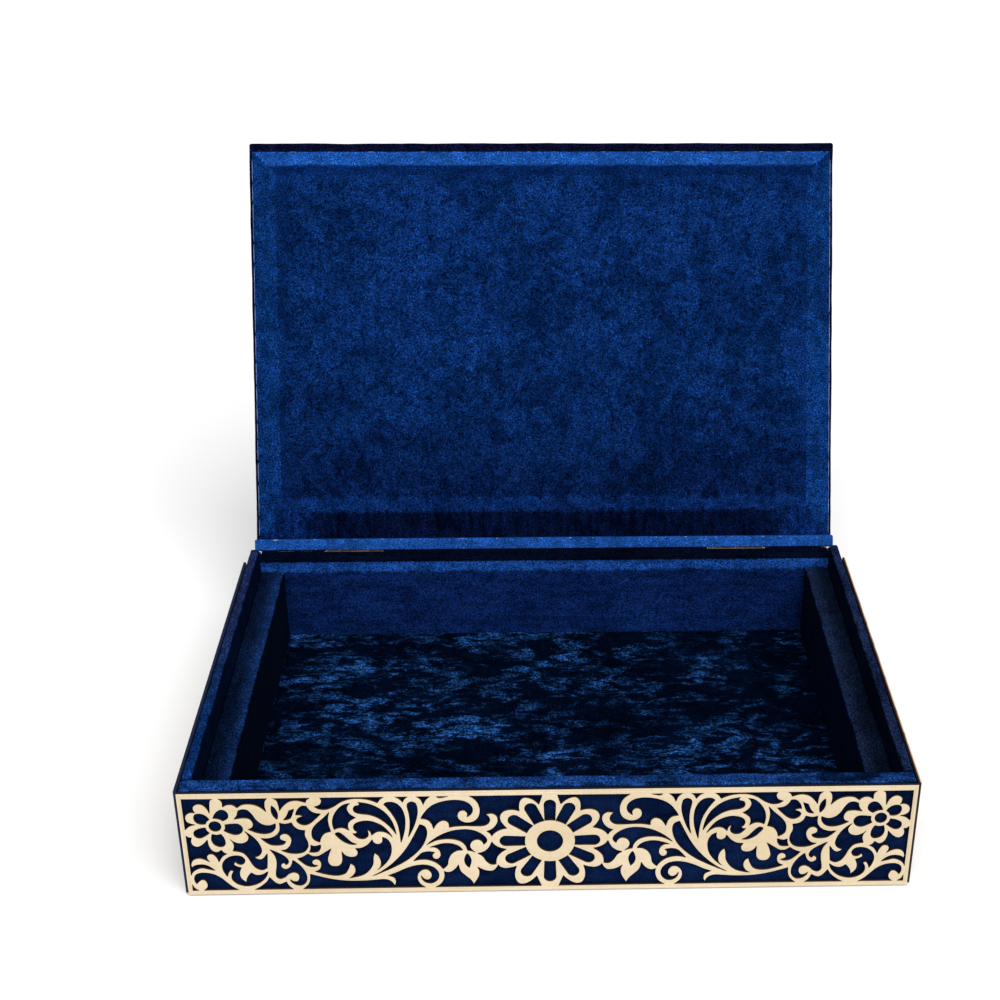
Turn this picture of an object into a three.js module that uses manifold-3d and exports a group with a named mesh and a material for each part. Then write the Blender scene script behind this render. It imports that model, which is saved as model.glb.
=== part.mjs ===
// Velvet case for a book, with a hinged lid and gold arabesque fretwork on its front and short sides.
// Millimetres, +Z up, +X to the viewer's right, -Y towards the viewer. Origin: middle of the underside.
// The lid is built closed and then turned open about its hinge pins.
import * as THREE from 'three';
import { mergeVertices } from 'three/addons/utils/BufferGeometryUtils.js';
import Module from 'manifold-3d';

const wasm = await Module();
wasm.setup();

// ---------------------------------------------------------------- driving dimensions
const GAP = 0.3;              // clearance between pieces that touch
const SKIN = 0.9;             // velvet with its backing
const HALF_W = 158.3;         // half width over the velvet
const HALF_D = 108.9;         // half depth over the velvet
const RIM_Z = 56;             // top of the front and side walls
const BACK_Z = 50.7;          // top of the back wall
const WALL_Z0 = 0.7;          // bottom of the walls
const FRONT_T = 8.0;          // front and back wall thickness
const SIDE_T = 4.9;           // side wall thickness
const LEDGE_X = 140.5;        // inner face of the side ledges
const LEDGE_Z = 44;           // top of the side ledges
const FELT_Z1 = 0.4;
const BASE_Z0 = 0.7, BASE_Z1 = 2.3;
const FLOOR_Z0 = 2.6, FLOOR_Z1 = 3.4;
const NOTCH_Y = 102.6;        // side walls drop to the back wall's height behind this line
const PLATE_T = 1.4;          // fretwork plate thickness
const PLATE_Z0 = 0.4, PLATE_Z1 = 55.2;
const FRONT_PLATE_HALF = 158.5;
const SIDE_PLATE_LEN = 199;
const PIN_Y = 110.6, PIN_Z = 48.9;      // hinge pin axis
const OPEN_DEG = 114;                   // lid angle at rest
const KNUCKLE_R = 1.5, KNUCKLE_BORE = 0.95, PIN_R = 0.7;
const HINGE_X0 = 88.6, KNUCKLE_PITCH = 7.6;
const LEAF_T = 0.6, LEAF_H = 12;
const LID_HALF = 158.0, LID_Y0 = -110.4, LID_Z0 = 57.2, LID_Z1 = 65.2;
const SPINE_Y0 = 103.2, SPINE_Z0 = 51.7;
const LIP_SIDE = 1.7, LIP_FRONT = 4.8;
const PAD_H = 3.2;
const ROSETTE_R = 42;
const ORNAMENT_TOL_FRONT = 0.5, ORNAMENT_TOL_SIDE = 0.8;

// ---------------------------------------------------------------- finishes
const mat = (color, roughness, metalness = 0) => new THREE.MeshStandardMaterial({ color, roughness, metalness });
const velvet = () => mat(0x14266e, 0.9);
const crushed = () => mat(0x1c2f80, 0.85);
const wood = () => mat(0xb08a5c, 0.8);
const felt = () => mat(0x17171d, 0.95);
const gold = () => mat(0xe8d4a8, 0.35, 0.2);
const brass = () => mat(0xb9924a, 0.35, 0.9);

// ---------------------------------------------------------------- solids
function solid(geometry) {
  const g = geometry.clone();
  g.deleteAttribute('normal');
  g.deleteAttribute('uv');
  const m = mergeVertices(g, 1e-4);
  const vertProperties = new Float32Array(m.attributes.position.array);
  const triVerts = new Uint32Array(m.index.array);
  return new wasm.Manifold(new wasm.Mesh({ numProp: 3, vertProperties, triVerts }));
}
function geometryOf(manifold) {
  const m = manifold.getMesh();
  const g = new THREE.BufferGeometry();
  g.setAttribute('position', new THREE.BufferAttribute(new Float32Array(m.vertProperties), 3));
  g.setIndex(new THREE.BufferAttribute(new Uint32Array(m.triVerts), 1));
  g.computeVertexNormals();
  return g;
}
function box(x0, x1, y0, y1, z0, z1) {
  const g = new THREE.BoxGeometry(x1 - x0, y1 - y0, z1 - z0);
  g.translate((x0 + x1) / 2, (y0 + y1) / 2, (z0 + z1) / 2);
  return g;
}
function shapeOf(points) {
  return new THREE.Shape(points.map(([a, b]) => new THREE.Vector2(a, b)));
}
// outline in (y, z), pushed along X from x0 to x1
function prismX(points, x0, x1) {
  const g = new THREE.ExtrudeGeometry(shapeOf(points), { depth: x1 - x0, bevelEnabled: false });
  g.applyMatrix4(new THREE.Matrix4().makeBasis(new THREE.Vector3(0, 1, 0), new THREE.Vector3(0, 0, 1), new THREE.Vector3(1, 0, 0)));
  g.translate(x0, 0, 0);
  return g;
}
// outline in (x, z), pushed along Y from y0 to y1
function prismY(points, y0, y1) {
  const g = new THREE.ExtrudeGeometry(shapeOf(points), { depth: y1 - y0, bevelEnabled: false });
  g.applyMatrix4(new THREE.Matrix4().makeBasis(new THREE.Vector3(1, 0, 0), new THREE.Vector3(0, 0, 1), new THREE.Vector3(0, -1, 0)));
  g.translate(0, y1, 0);
  return g;
}
// outline in (x, y), pushed along Z from z0 to z1
function prismZ(points, z0, z1) {
  const g = new THREE.ExtrudeGeometry(shapeOf(points), { depth: z1 - z0, bevelEnabled: false });
  g.translate(0, 0, z0);
  return g;
}
// a block section with its two top corners rounded
function roundTop(a0, a1, z0, z1, r0, r1, steps = 3) {
  const p = [[a0, z0], [a1, z0]];
  for (let i = 0; i <= steps; i++) {
    const t = (Math.PI / 2) * (i / steps);
    p.push([a1 - r1 + r1 * Math.cos(t), z1 - r1 + r1 * Math.sin(t)]);
  }
  for (let i = 0; i <= steps; i++) {
    const t = Math.PI / 2 + (Math.PI / 2) * (i / steps);
    p.push([a0 + r0 + r0 * Math.cos(t), z1 - r0 + r0 * Math.sin(t)]);
  }
  return p;
}
function cylX(r, x0, x1, y, z, n = 16) {
  const g = new THREE.CylinderGeometry(r, r, x1 - x0, n);
  g.rotateZ(Math.PI / 2);
  g.translate((x0 + x1) / 2, y, z);
  return g;
}
function cylY(r, y0, y1, x, z, n = 16) {
  const g = new THREE.CylinderGeometry(r, r, y1 - y0, n);
  g.translate(x, (y0 + y1) / 2, z);
  return g;
}

const root = new THREE.Group();
const lid = new THREE.Group();
root.add(lid);
function put(parent, name, geometry, material) {
  const mesh = new THREE.Mesh(geometry, material);
  mesh.name = name;
  parent.add(mesh);
  return mesh;
}

// ---------------------------------------------------------------- ornament
// Openings of the left half of the front plate, clockwise round the scrollwork. Each row is one opening:
// x, z, corner (1) or smooth point (0), in millimetres from the plate's middle line and the underside.
const OPENINGS = [
  [-3.34,51.2,1, -4.05,48.6,0, -4.76,46.4,1, -5.77,47.6,0, -7.49,49,0, -9.72,49.9,0, -11.64,49.7,0, -12.95,48,0, -13.36,45.3,0, -13.16,43,1, -15.59,43.7,0, -18.32,43.6,0, -20.55,42.4,0, -21.56,40.3,0, -21.25,37.9,0, -20.14,35.9,0, -18.62,34,1, -21.15,33.4,0, -23.58,32,0, -25.2,30,1, -25.71,31.2,0, -27.33,32.6,1, -25,33.7,0, -23.18,35.8,0, -22.37,38.4,0, -22.97,40.7,0, -24.9,41.9,0, -27.53,41.5,1, -26.31,40.1,0, -25.91,38.4,0, -26.62,36.7,0, -28.34,35.6,0, -31.48,35.4,0, -36.54,35.6,0, -40.59,35.4,0, -43.42,34.9,1, -43.52,37,0, -44.84,38.4,0, -46.66,38.4,0, -48.58,37,0, -50.2,34.3,1, -50.91,37,0, -52.63,39,0, -55.46,39.7,1, -54.05,42.3,0, -51.62,45.4,0, -48.68,47.4,0, -44.63,48.7,0, -40.38,49.1,0, -36.84,48.5,0, -34.41,46.9,0, -33.2,44.6,0, -33.6,42.2,0, -35.63,40.2,1, -35.42,42.2,0, -36.84,43.7,0, -38.86,43.2,0, -39.78,41,0, -38.97,38.8,0, -36.74,37.4,0, -34.01,37.4,0, -31.48,38.9,0, -30.16,41.6,0, -30.06,45,0, -31.48,48.6,0, -34.51,51.2,1],
  [-3.85,2.8,1, -4.76,5.3,0, -5.87,8.2,1, -6.98,6.9,0, -9.21,5,0, -11.64,4,0, -13.87,4.5,0, -15.28,7,0, -15.49,10.3,0, -14.68,13.8,1, -17,13,0, -19.84,12.7,0, -21.96,13.6,0, -22.67,14.6,1, -23.38,13,0, -24.9,11.5,0, -27.43,11.4,0, -29.76,12.3,0, -31.68,13.6,1, -30.87,11.3,0, -31.27,8.3,0, -33.5,4.3,1, -34.92,6.7,0, -37.14,9,0, -39.17,11.4,0, -39.98,14.9,1, -41.19,12.9,0, -43.22,11.2,0, -45.04,10.9,0, -46.35,11.4,1, -46.15,9,0, -46.86,6.3,0, -48.38,4.2,0, -50.5,2.8,1],
  [-25.2,27,1, -23.99,25.2,0, -21.86,23.8,0, -18.93,22.9,1, -21.36,21.1,0, -23.18,18.6,0, -23.58,15,1, -25.81,14.9,0, -27.73,16.6,0, -29.25,19.2,0, -31.48,20.9,1, -28.74,21.8,0, -26.62,23.8,0],
  [-53.34,25.8,1, -51.31,27.9,0, -48.18,30.3,0, -44.63,32.2,0, -41.09,33.3,0, -37.04,33.7,0, -33.3,33.2,0, -30.26,31.7,0, -28.04,29.6,0, -27.33,27.6,0, -28.74,25.6,1, -29.45,27.3,0, -31.17,28.3,0, -33.5,27.6,0, -34.72,25.6,0, -34.31,23.4,0, -32.39,21.5,1, -34.11,22.2,0, -35.83,22.6,1, -36.54,25,0, -38.36,27.2,0, -41.39,28.5,0, -45.14,28.8,0, -49.19,28.1,0],
  [-52.12,24.5,1, -49.19,25.6,0, -45.44,26.5,0, -42.1,26.1,0, -39.47,24.8,0, -37.85,22.7,1, -40.59,22.4,0, -42.91,20.7,0, -44.23,18,0, -44.84,14.9,0, -46.76,12.8,1, -48.18,14.8,0, -50.5,16.7,0, -53.74,17.9,0, -56.78,17.9,0, -59.41,17.2,1, -57.59,19.5,0, -55.56,21.5,0, -53.03,22.2,0, -50.1,21.7,1, -51.21,20.3,0, -50.71,18.6,0, -49.09,18.1,0, -47.77,19.3,0, -47.47,21.2,0, -48.28,23.2,0, -49.9,24.4,0],
  [-36.03,20.9,1, -34.82,19,0, -34.41,16.8,0, -35.32,13.3,1, -36.74,15,0, -37.25,17.3,0, -36.84,19.3,0],
  [-108.4,2.8,1, -106.17,4.9,0, -104.95,7.5,0, -104.75,10.9,1, -101.82,9.9,0, -97.26,8.5,0, -92.2,7.4,0, -87.14,6.9,0, -81.07,6.9,0, -76.01,7.3,0, -72.47,7.5,0, -69.94,6.6,0, -68.22,4,1, -67.51,6,0, -68.11,8.2,0, -70.85,9.6,1, -67.41,11,0, -63.36,13.1,0, -59.31,14.6,0, -55.26,15.1,0, -51.72,14.2,0, -49.49,12.1,0, -48.68,9.6,0, -49.39,7,0, -51.31,5.3,0, -53.74,5.2,0, -55.77,6.8,0, -56.48,9.3,1, -55.16,7.5,0, -53.44,7,0, -51.92,8.4,0, -51.92,10.6,0, -53.54,12.5,0, -55.77,12.4,0, -57.69,10.5,0, -58.2,7.8,0, -57.18,5,0, -54.75,2.8,1],
  [-77.73,9.4,1, -72.97,11.6,0, -67.91,14.2,0, -63.36,17,0, -59.11,20.6,0, -55.77,24.6,0, -53.84,28.7,0, -53.14,32.5,0, -53.84,35.4,0, -56.07,36.6,1, -57.99,32.4,0, -60.83,26.6,0, -64.37,21,0, -68.92,15.8,0, -73.48,12,0],
  [-70.95,47.4,1, -69.73,48.3,0, -67.71,48.5,0, -65.48,47.6,0, -63.76,45.6,0, -62.65,42.7,0, -62.24,39,0, -62.55,34.5,0, -63.46,30.5,0, -64.47,27.3,1, -64.57,30.5,0, -64.98,34.5,0, -65.89,38.5,0, -67.61,42.3,0, -69.23,45,0],
  [-61.03,46.6,0, -60.42,48,0, -58.8,48.5,0, -57.39,47.6,0, -56.78,45,0, -56.98,41.5,0, -57.99,37.5,0, -59.51,33.5,0, -61.23,30,1, -60.42,34,0, -60.12,38,0, -60.32,42,0],
  [-81.98,48.6,1, -78.54,48,0, -75,46.6,0, -71.76,44.2,0, -69.13,41,0, -67.41,37,0, -66.29,31.6,1, -68.32,34.9,0, -70.95,38,0, -74.29,40.7,0, -77.83,42.1,0, -81.07,42.6,0, -83.3,43.4,0, -84,44.9,0, -83.4,46.5,0, -81.58,47.1,0, -81.17,47.8,1],
  [-84.51,35.7,0, -83.7,37.4,0, -81.58,38.5,0, -78.54,38.9,0, -75.3,38.1,0, -72.16,36.2,0, -69.83,33.4,0, -68.01,30.1,1, -69.63,31.9,0, -71.96,33.1,0, -74.69,33,0, -76.92,31.2,1, -77.43,33.2,0, -78.94,34.2,1, -78.34,32.6,0, -78.64,30.7,0, -80.26,29.5,0, -82.59,29.8,0, -85.02,32.3,1, -83.8,32.3,0, -82.89,33.1,1, -84,34,0],
  [-76.82,29,1, -76.21,27.4,0, -74.59,26.5,0, -72.77,27.2,0, -72.26,28.8,0, -72.37,30.2,1, -70.34,29,0, -69.03,26.5,0, -68.82,23.2,0, -69.73,19.4,0, -71.96,15.9,0, -75.4,12.6,1, -73.88,14.6,0, -73.58,17.5,0, -74.59,20.3,0, -76.21,21.8,1, -76.82,19.5,0, -77.22,15.8,0, -79.25,12.2,0, -82.28,9.9,0, -87.85,8.5,1, -85.72,10.3,0, -84.81,12.9,0, -85.52,15.3,0, -87.04,16.3,1, -87.95,13.6,0, -89.57,11,0, -92.71,10,0, -96.76,10.4,0, -102.53,12.3,1, -100.3,13.5,0, -99.49,16,0, -100.1,18.2,0, -101.72,18.9,0, -103.34,17.9,0, -103.23,16.3,0, -101.01,15.5,1, -102.83,14.8,0, -105.36,15.3,0, -107.59,17.1,0, -109.71,19.4,1, -107.38,20.2,0, -104.95,21.9,1, -102.93,20.6,0, -100.5,20.6,0, -98.07,22.1,0, -94.73,24.5,1, -96.05,21.2,0, -96.66,17.8,0, -95.54,15.5,0, -93.42,14.9,0, -91.39,15.6,0, -90.28,17.8,0, -90.28,22.8,1, -88.76,20.7,0, -86.43,19.8,0, -84.21,20.3,0, -83.3,22.2,0, -84.31,24.4,1, -81.47,24.7,0, -78.94,26.3,0],
  [-85.22,48.1,1, -87.95,47.4,0, -90.68,45,0, -92.61,41.6,0, -93.32,38,0, -92.81,34.5,1, -90.99,35.3,0, -88.76,35.3,0, -86.43,34,1, -86.94,36,0, -86.33,38.4,0, -83.3,40.7,1, -85.62,42.4,0, -86.84,44.9,0, -86.43,46.9,0],
  [-92.51,32.3,0, -91.19,33,0, -89.87,32.3,0, -87.95,30.2,0, -85.93,27.9,0, -83.5,26.6,1, -86.13,26.6,0, -88.86,27.9,0, -91.19,30.2,0],
  [-94.43,43.6,1, -96.76,40.9,0, -99.79,38,0, -101.82,35.3,0, -102.53,32.3,0, -101.92,29.6,0, -99.39,27.9,1, -98.78,30.2,0, -97.16,32.5,0, -94.33,33.5,1, -95.04,36.8,0, -95.24,40.2,0],
  [-103.44,26.5,1, -101.82,25.9,0, -99.19,26.6,1, -99.39,24.7,0, -100.7,22.9,0, -104.25,22.7,1, -103.54,24.6,0],
  [-97.87,51.2,1, -97.26,49.4,0, -98.17,47.5,0, -100.5,46.6,1, -98.48,45.3,0, -95.54,45.1,0, -92.4,46.5,0, -89.17,48.8,0, -85.62,50.2,0, -81.58,50.5,0, -77.53,49.9,0, -73.58,48.2,1, -72.57,49.8,0, -70.85,51.2,1],
  [-66.09,51.2,1, -64.17,50,0, -62.85,48.3,1, -62.04,50,0, -60.62,51.2,1],
  [-56.98,51.2,1, -55.06,49.5,0, -54.15,46.9,1, -53.14,49.2,0, -51.21,51.2,1],
  [-48.38,51.2,1, -47.47,50.4,0, -45.44,50.6,0, -43.42,51.2,1],
  [-108.7,42.4,1, -107.79,45,0, -105.97,46.9,0, -103.94,47,1, -102.73,44.9,0, -100.81,43.4,0, -98.07,42.9,1, -100.6,40.1,0, -103.03,37.9,0, -105.36,37.1,0, -107.59,38,0, -108.5,39.7,0, -107.69,40.8,0, -105.66,41.6,1, -106.78,42.3,0],
  [-114.16,39.9,1, -112.65,41.8,0, -111.43,44.7,1, -109.31,45.6,1, -110.12,43,0, -111.13,40.8,0, -112.44,40.1,0],
  [-117.71,51.2,1, -116.19,49.9,0, -115.58,47.6,0, -115.38,44.8,1, -113.66,47.2,0, -111.13,49.3,0, -107.89,49.9,0, -104.15,48.8,1, -103.54,50.2,0, -102.22,51.2,1],
  [-118.62,47.4,1, -117.1,45.5,0, -116.39,43,0, -116.8,40.2,1, -118.21,42,0, -118.92,44.5,0],
  [-115.99,38.4,1, -113.66,37.8,0, -110.82,38.5,1, -109.91,36.4,0, -107.99,34.8,0, -105.36,34.3,1, -105.66,31.5,0, -104.65,28.2,0, -104.75,25.3,0, -106.57,22.9,0, -109.61,22.1,0, -112.95,22.4,0, -116.39,23.9,1, -113.96,24.5,0, -112.04,26.8,0, -111.43,29.7,0, -112.44,31.9,0, -114.37,32.7,0, -116.19,31.7,0, -116.29,29.9,0, -113.96,28.6,1, -115.08,27.1,0, -118.01,26.6,0, -121.05,27.2,0, -124.59,30.5,1, -121.35,30.3,0, -118.21,31.6,0, -116.19,34.2,0],
  [-121.35,24.5,1, -118.31,22.9,0, -115.68,21.2,0, -113.86,19,0, -113.76,17.2,0, -114.87,16.1,1, -115.68,17.1,0, -117,16.2,0, -116.8,14.7,0, -115.18,13.8,0, -113.36,14.6,0, -112.34,16.4,0, -111.74,18.6,1, -109.41,16.4,0, -107.38,13.4,0, -106.37,10.3,0, -106.68,7,0, -108.6,5,0, -111.23,5.2,0, -113.05,6.7,0, -113.66,8.2,1, -112.14,7.1,0, -110.42,7.2,0, -109.51,8.9,0, -109.81,11,0, -111.74,12,0, -113.96,11.2,0, -115.58,9.6,1, -117.91,8.6,0, -119.33,9.7,0, -119.43,12,0, -118.92,15,0, -118.72,18.5,0, -119.53,21.7,0],
  [-112.55,2.8,1, -114.27,4.5,0, -115.48,7,1, -117,6.1,0, -118.52,5.7,0, -120.34,6.7,0, -122.46,9.5,1, -123.78,7.2,0, -126.21,4.9,0, -129.45,2.8,1],
  [-131.27,34.2,1, -128.84,32.2,0, -126.71,29.7,0, -125.2,26.6,0, -124.79,23.5,0, -126.01,21.4,0, -128.03,20.5,1, -126.61,19.3,0, -124.79,19.4,0, -122.46,22.3,1, -122.77,18.5,0, -123.17,14.6,1, -125.4,13.5,0, -127.73,14.5,0, -129.45,17,0, -130.86,20.2,0, -132.89,22.8,0, -137.04,23.9,1, -136.33,26.2,0, -136.63,28.4,0, -137.75,30.1,1, -135.93,28.5,0, -133.19,27.8,0, -130.66,28.8,0, -129.65,30.9,0, -130.26,32.8,0],
  [-133.09,44.9,1, -131.17,45.6,0, -129.14,45.2,0, -127.42,43.1,0, -125.8,40.1,0, -123.58,37.9,0, -120.54,37.1,0, -117.71,38.1,1, -118.01,35.6,0, -119.83,33.5,0, -122.57,32.8,0, -125.91,33.4,0, -129.65,35.2,1, -127.63,36.3,0, -127.22,38.4,0, -128.44,40.6,0, -131.17,41.2,0, -135.12,40.6,1, -133.7,42.6,0],
  [-140.95,51.2,1, -139.8,50.3,0, -139.3,49,0, -139.37,47,1, -137.44,48.1,0, -135.12,48,0, -133.29,46.5,1, -130.97,48.1,0, -127.63,48.3,0, -124.29,47.2,0, -121.15,44.3,1, -121.65,47,0, -121.35,49.7,0, -120.24,51.2,1],
  [-144.02,41.2,1, -142.91,43.5,0, -140.99,45.3,0, -139.06,45.3,0, -137.65,43.7,0, -137.75,41.4,0, -139.87,39.8,1, -141.8,40.9,0],
  [-139.26,37.8,1, -136.23,38.2,0, -133.5,38,0, -131.98,36.3,0, -132.18,34.2,0, -133.7,32.8,0, -135.93,32.6,0, -139.87,34.6,1, -139.16,36.2,0],
  [-145.14,32.9,1, -143.31,32.5,0, -141.39,32.9,1, -140.18,30.5,0, -139.97,28,0, -140.88,26.5,0, -142.71,26.3,0, -144.73,27.5,0, -145.64,29.9,0],
  [-147.77,36.4,1, -150.5,35.8,0, -152.52,34.5,0, -152.83,32.6,0, -151.71,31.2,0, -149.79,31.1,0, -146.15,33.6,1, -147.26,34.8,0],
  [-145.64,40.6,1, -147.16,42.6,0, -149.39,43.6,0, -151.41,43.2,0, -152.12,41.4,0, -151.51,39.4,0, -149.89,38.3,0, -147.46,38.3,1, -146.86,39.6,0],
  [-156.47,51.2,1, -143.3,51.2,1, -144.4,50.5,0, -144.85,48.8,0, -145.24,43.8,1, -146.15,46.3,0, -147.87,48.2,0, -150.09,48.6,0, -151.92,47.3,0, -152.02,45.5,0, -151.31,44.1,1, -153.33,44.3,0, -155.15,43.3,0, -155.86,41.5,0, -155.36,39.6,0, -153.74,38.5,0, -151.81,38,1, -154.45,37.2,0, -156.47,35.4,1],
  [-156.47,32.3,1, -155.46,31.4,0, -154.14,31.2,1, -154.65,29,0, -153.84,27,0, -151.92,26.3,0, -149.69,27.5,0, -147.46,30,1, -147.26,27,0, -146.05,24.3,0, -144.12,23.3,0, -142,24.5,1, -141.09,23.1,0, -139.77,22.4,1, -142,20.9,0, -143.62,18.1,1, -144.33,20.4,0, -145.94,22.3,0, -147.97,22.1,0, -148.68,20.5,0, -147.67,18.2,1, -149.69,19.5,0, -152.12,20.2,0, -154.55,19.4,0, -155.76,17.4,0, -155.66,15.3,1, -153.74,16.5,0, -150.7,16.8,0, -148.17,15.8,0, -145.74,13.6,1, -148.48,14.3,0, -151.21,15,0, -153.94,14.1,0, -155.66,12.6,0, -156.47,11,1],
  [-154.45,6.5,1, -155.15,8.6,0, -154.65,10.9,0, -152.62,12.2,0, -149.59,12.3,0, -146.65,11.5,0, -143.82,9.7,0, -141.29,7,0, -138.96,4.6,0, -136.33,2.8,1, -151.61,2.8,1, -149.99,4.4,0, -149.69,6.4,0, -150.8,8.4,0, -152.32,8.5,0],
  [-156.47,6.2,1, -155.66,4.3,0, -153.84,2.8,1, -156.47,2.8,1],
  [-140.68,10.2,1, -142,12.9,0, -142.4,16,0, -141.19,18.9,0, -138.76,20.8,0, -135.93,21.4,0, -133.6,20.8,0, -132.38,19,0, -133.19,17,0, -135.01,16.7,0, -136.73,18.1,1, -137.24,16.4,0, -134.31,14.9,1, -135.32,12,0, -134.91,9.3,0, -132.69,6.9,1, -132.18,9.3,0, -130.26,12.1,1, -128.03,10.8,0, -125.6,11,0, -122.97,12.7,1, -124.18,9.5,0, -126.92,6.7,0, -130.36,5.2,0, -133.7,5,0, -136.73,6.2,0, -138.66,8.4,0, -138.76,10.8,0, -137.75,12.9,1, -139.06,13.5,0, -140.18,12,0],
];
const PETAL_ANGLES = [90, 115.5, 144, 179, 208.5, 238, 270];
const DAISY_Z = 27.0, HUB_R = 5.5, HUB_RING_R = 10.9, PETAL_SLOT_R = 19.1, PETAL_SLOT_W0 = 2.35, PETAL_SLOT_W1 = 2.6;

const rows = OPENINGS.map((r) => {
  const pts = [];
  for (let i = 0; i < r.length; i += 3) pts.push([r[i], r[i + 1]]);
  return pts;
});
function circle(cx, cz, r, n) {
  const p = [];
  for (let i = 0; i < n; i++) p.push([cx + r * Math.cos((2 * Math.PI * i) / n), cz + r * Math.sin((2 * Math.PI * i) / n)]);
  return p;
}
function petalSlot(cx, cz, deg, s = 1, steps = 5) {
  const a = (deg * Math.PI) / 180, ux = Math.cos(a), uz = Math.sin(a), nx = -uz, nz = ux;
  const at = (r, w) => [cx + s * (ux * r + nx * w), cz + s * (uz * r + nz * w)];
  const p = [at(HUB_RING_R + 0.1, -PETAL_SLOT_W0)];
  for (let i = 0; i <= steps; i++) {
    const b = -Math.PI / 2 + (Math.PI * i) / steps;
    p.push(at(PETAL_SLOT_R + PETAL_SLOT_W1 * Math.cos(b), PETAL_SLOT_W1 * Math.sin(b)));
  }
  p.push(at(HUB_RING_R + 0.1, PETAL_SLOT_W0));
  return p;
}
const mirror = (pts) => pts.map(([x, z]) => [-x, z]).reverse();
// thin an outline to the points that matter
function thin(pts, tol) {
  const keep = (a, b, out) => {
    let far = -1, best = tol;
    const [x0, z0] = pts[a], [x1, z1] = pts[b % pts.length];
    const L = Math.hypot(x1 - x0, z1 - z0) || 1;
    for (let i = a + 1; i < b; i++) {
      const [x, z] = pts[i];
      const d = Math.abs((x1 - x0) * (z0 - z) - (x0 - x) * (z1 - z0)) / L;
      if (d > best) { best = d; far = i; }
    }
    if (far < 0) { out.push(pts[a]); return; }
    keep(a, far, out);
    keep(far, b, out);
  };
  let m = 0, best = 0;
  pts.forEach(([x, z], i) => {
    const d = Math.hypot(x - pts[0][0], z - pts[0][1]);
    if (d > best) { best = d; m = i; }
  });
  const out = [];
  keep(0, m, out);
  keep(m, pts.length, out);
  return out;
}
// the design's heights are stretched a little from the lower border up, to meet the upper border
const stretch = (h) => h.map(([x, z]) => [x, 3.6 + (z - 3.6) * 1.025]);

function fretHoles(tol) {
  const half = rows.map((r) => thin(r, tol)).filter((r) => r.length > 2);
  half.push(circle(-143.52, 37, 2.55, 10));
  const all = [...half, ...half.map(mirror)];
  all.push(circle(0, DAISY_Z, HUB_R, 20));
  for (const deg of PETAL_ANGLES) {
    all.push(petalSlot(0, DAISY_Z, deg));
    if (deg !== 90 && deg !== 270) all.push(mirror(petalSlot(0, DAISY_Z, deg)));
  }
  return all.map(stretch);
}
function fretPlate(half, z0, z1, windowHalf, tol, prism, t0, t1) {
  let plate = solid(prism([[-half, z0], [half, z0], [half, z1], [-half, z1]], t0, t1));
  const win = windowHalf < half - 2.2 ? solid(prism([[-windowHalf, 0], [windowHalf, 0], [windowHalf, 60], [-windowHalf, 60]], t0 - 2, t1 + 2)) : null;
  for (const h of fretHoles(tol)) {
    const inside = h.filter(([x]) => Math.abs(x) < windowHalf);
    if (win && inside.length === 0) continue;
    let cut = solid(prism(h, t0 - 1, t1 + 1));
    if (win) cut = cut.intersect(win);
    plate = plate.subtract(cut);
  }
  return plate;
}

// ---------------------------------------------------------------- box body
put(root, 'base_felt', box(-HALF_W + 0.8, HALF_W - 0.8, -HALF_D + 0.9, HALF_D - 0.9, 0, FELT_Z1), felt());
const inX = HALF_W - SIDE_T, inY = HALF_D - FRONT_T;         // inner faces of the walls
put(root, 'base_board', box(-inX + GAP, inX - GAP, -inY + GAP, inY - GAP, BASE_Z0, BASE_Z1), wood());
put(root, 'floor_pad', box(-LEDGE_X + GAP, LEDGE_X - GAP, -inY + GAP, inY - GAP, FLOOR_Z0, FLOOR_Z1), crushed());

// front wall
{
  const y0 = -HALF_D, y1 = -inY;
  const cover = solid(prismX(roundTop(y0, y1, WALL_Z0, RIM_Z, 1.4, 1.6), -HALF_W, HALF_W))
    .subtract(solid(box(-HALF_W + SKIN, HALF_W - SKIN, y0 + SKIN, y1 - SKIN, WALL_Z0 - 1, RIM_Z - SKIN)));
  put(root, 'front_wall_cover', geometryOf(cover), velvet());
  put(root, 'front_wall_board', box(-HALF_W + SKIN + GAP, HALF_W - SKIN - GAP, y0 + SKIN + GAP, y1 - SKIN - GAP, WALL_Z0, RIM_Z - SKIN - GAP), wood());
}

// side walls, lower behind NOTCH_Y to clear the lid's back rail
for (const s of [-1, 1]) {
  const name = s < 0 ? 'left' : 'right';
  const xo = HALF_W, xi = inX, y0 = -inY + GAP, y1 = HALF_D;
  const sx = (a, b) => (s > 0 ? [a, b] : [-b, -a]);
  const [ax, bx] = sx(xi, xo);
  const [cx, dx] = sx(xi + SKIN, xo - SKIN);
  const [ex, fx] = sx(xi + SKIN + GAP, xo - SKIN - GAP);
  const cover = solid(prismY(roundTop(ax, bx, WALL_Z0, RIM_Z, 1.2, 1.2), y0, y1))
    .subtract(solid(box(ax - 1, bx + 1, NOTCH_Y, y1 + 1, BACK_Z, RIM_Z + 1)))
    .subtract(solid(box(cx, dx, y0 + SKIN, NOTCH_Y - SKIN, WALL_Z0 - 1, RIM_Z - SKIN)))
    .subtract(solid(box(cx, dx, y0 + SKIN, y1 - SKIN, WALL_Z0 - 1, BACK_Z - SKIN)));
  put(root, `${name}_wall_cover`, geometryOf(cover), velvet());
  const g = SKIN + GAP;
  const ring = [[y0 + g, WALL_Z0], [y1 - g, WALL_Z0], [y1 - g, BACK_Z - g], [NOTCH_Y - g, BACK_Z - g], [NOTCH_Y - g, RIM_Z - g], [y0 + g, RIM_Z - g]];
  put(root, `${name}_wall_board`, prismX(ring, ex, fx), wood());
}

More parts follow.
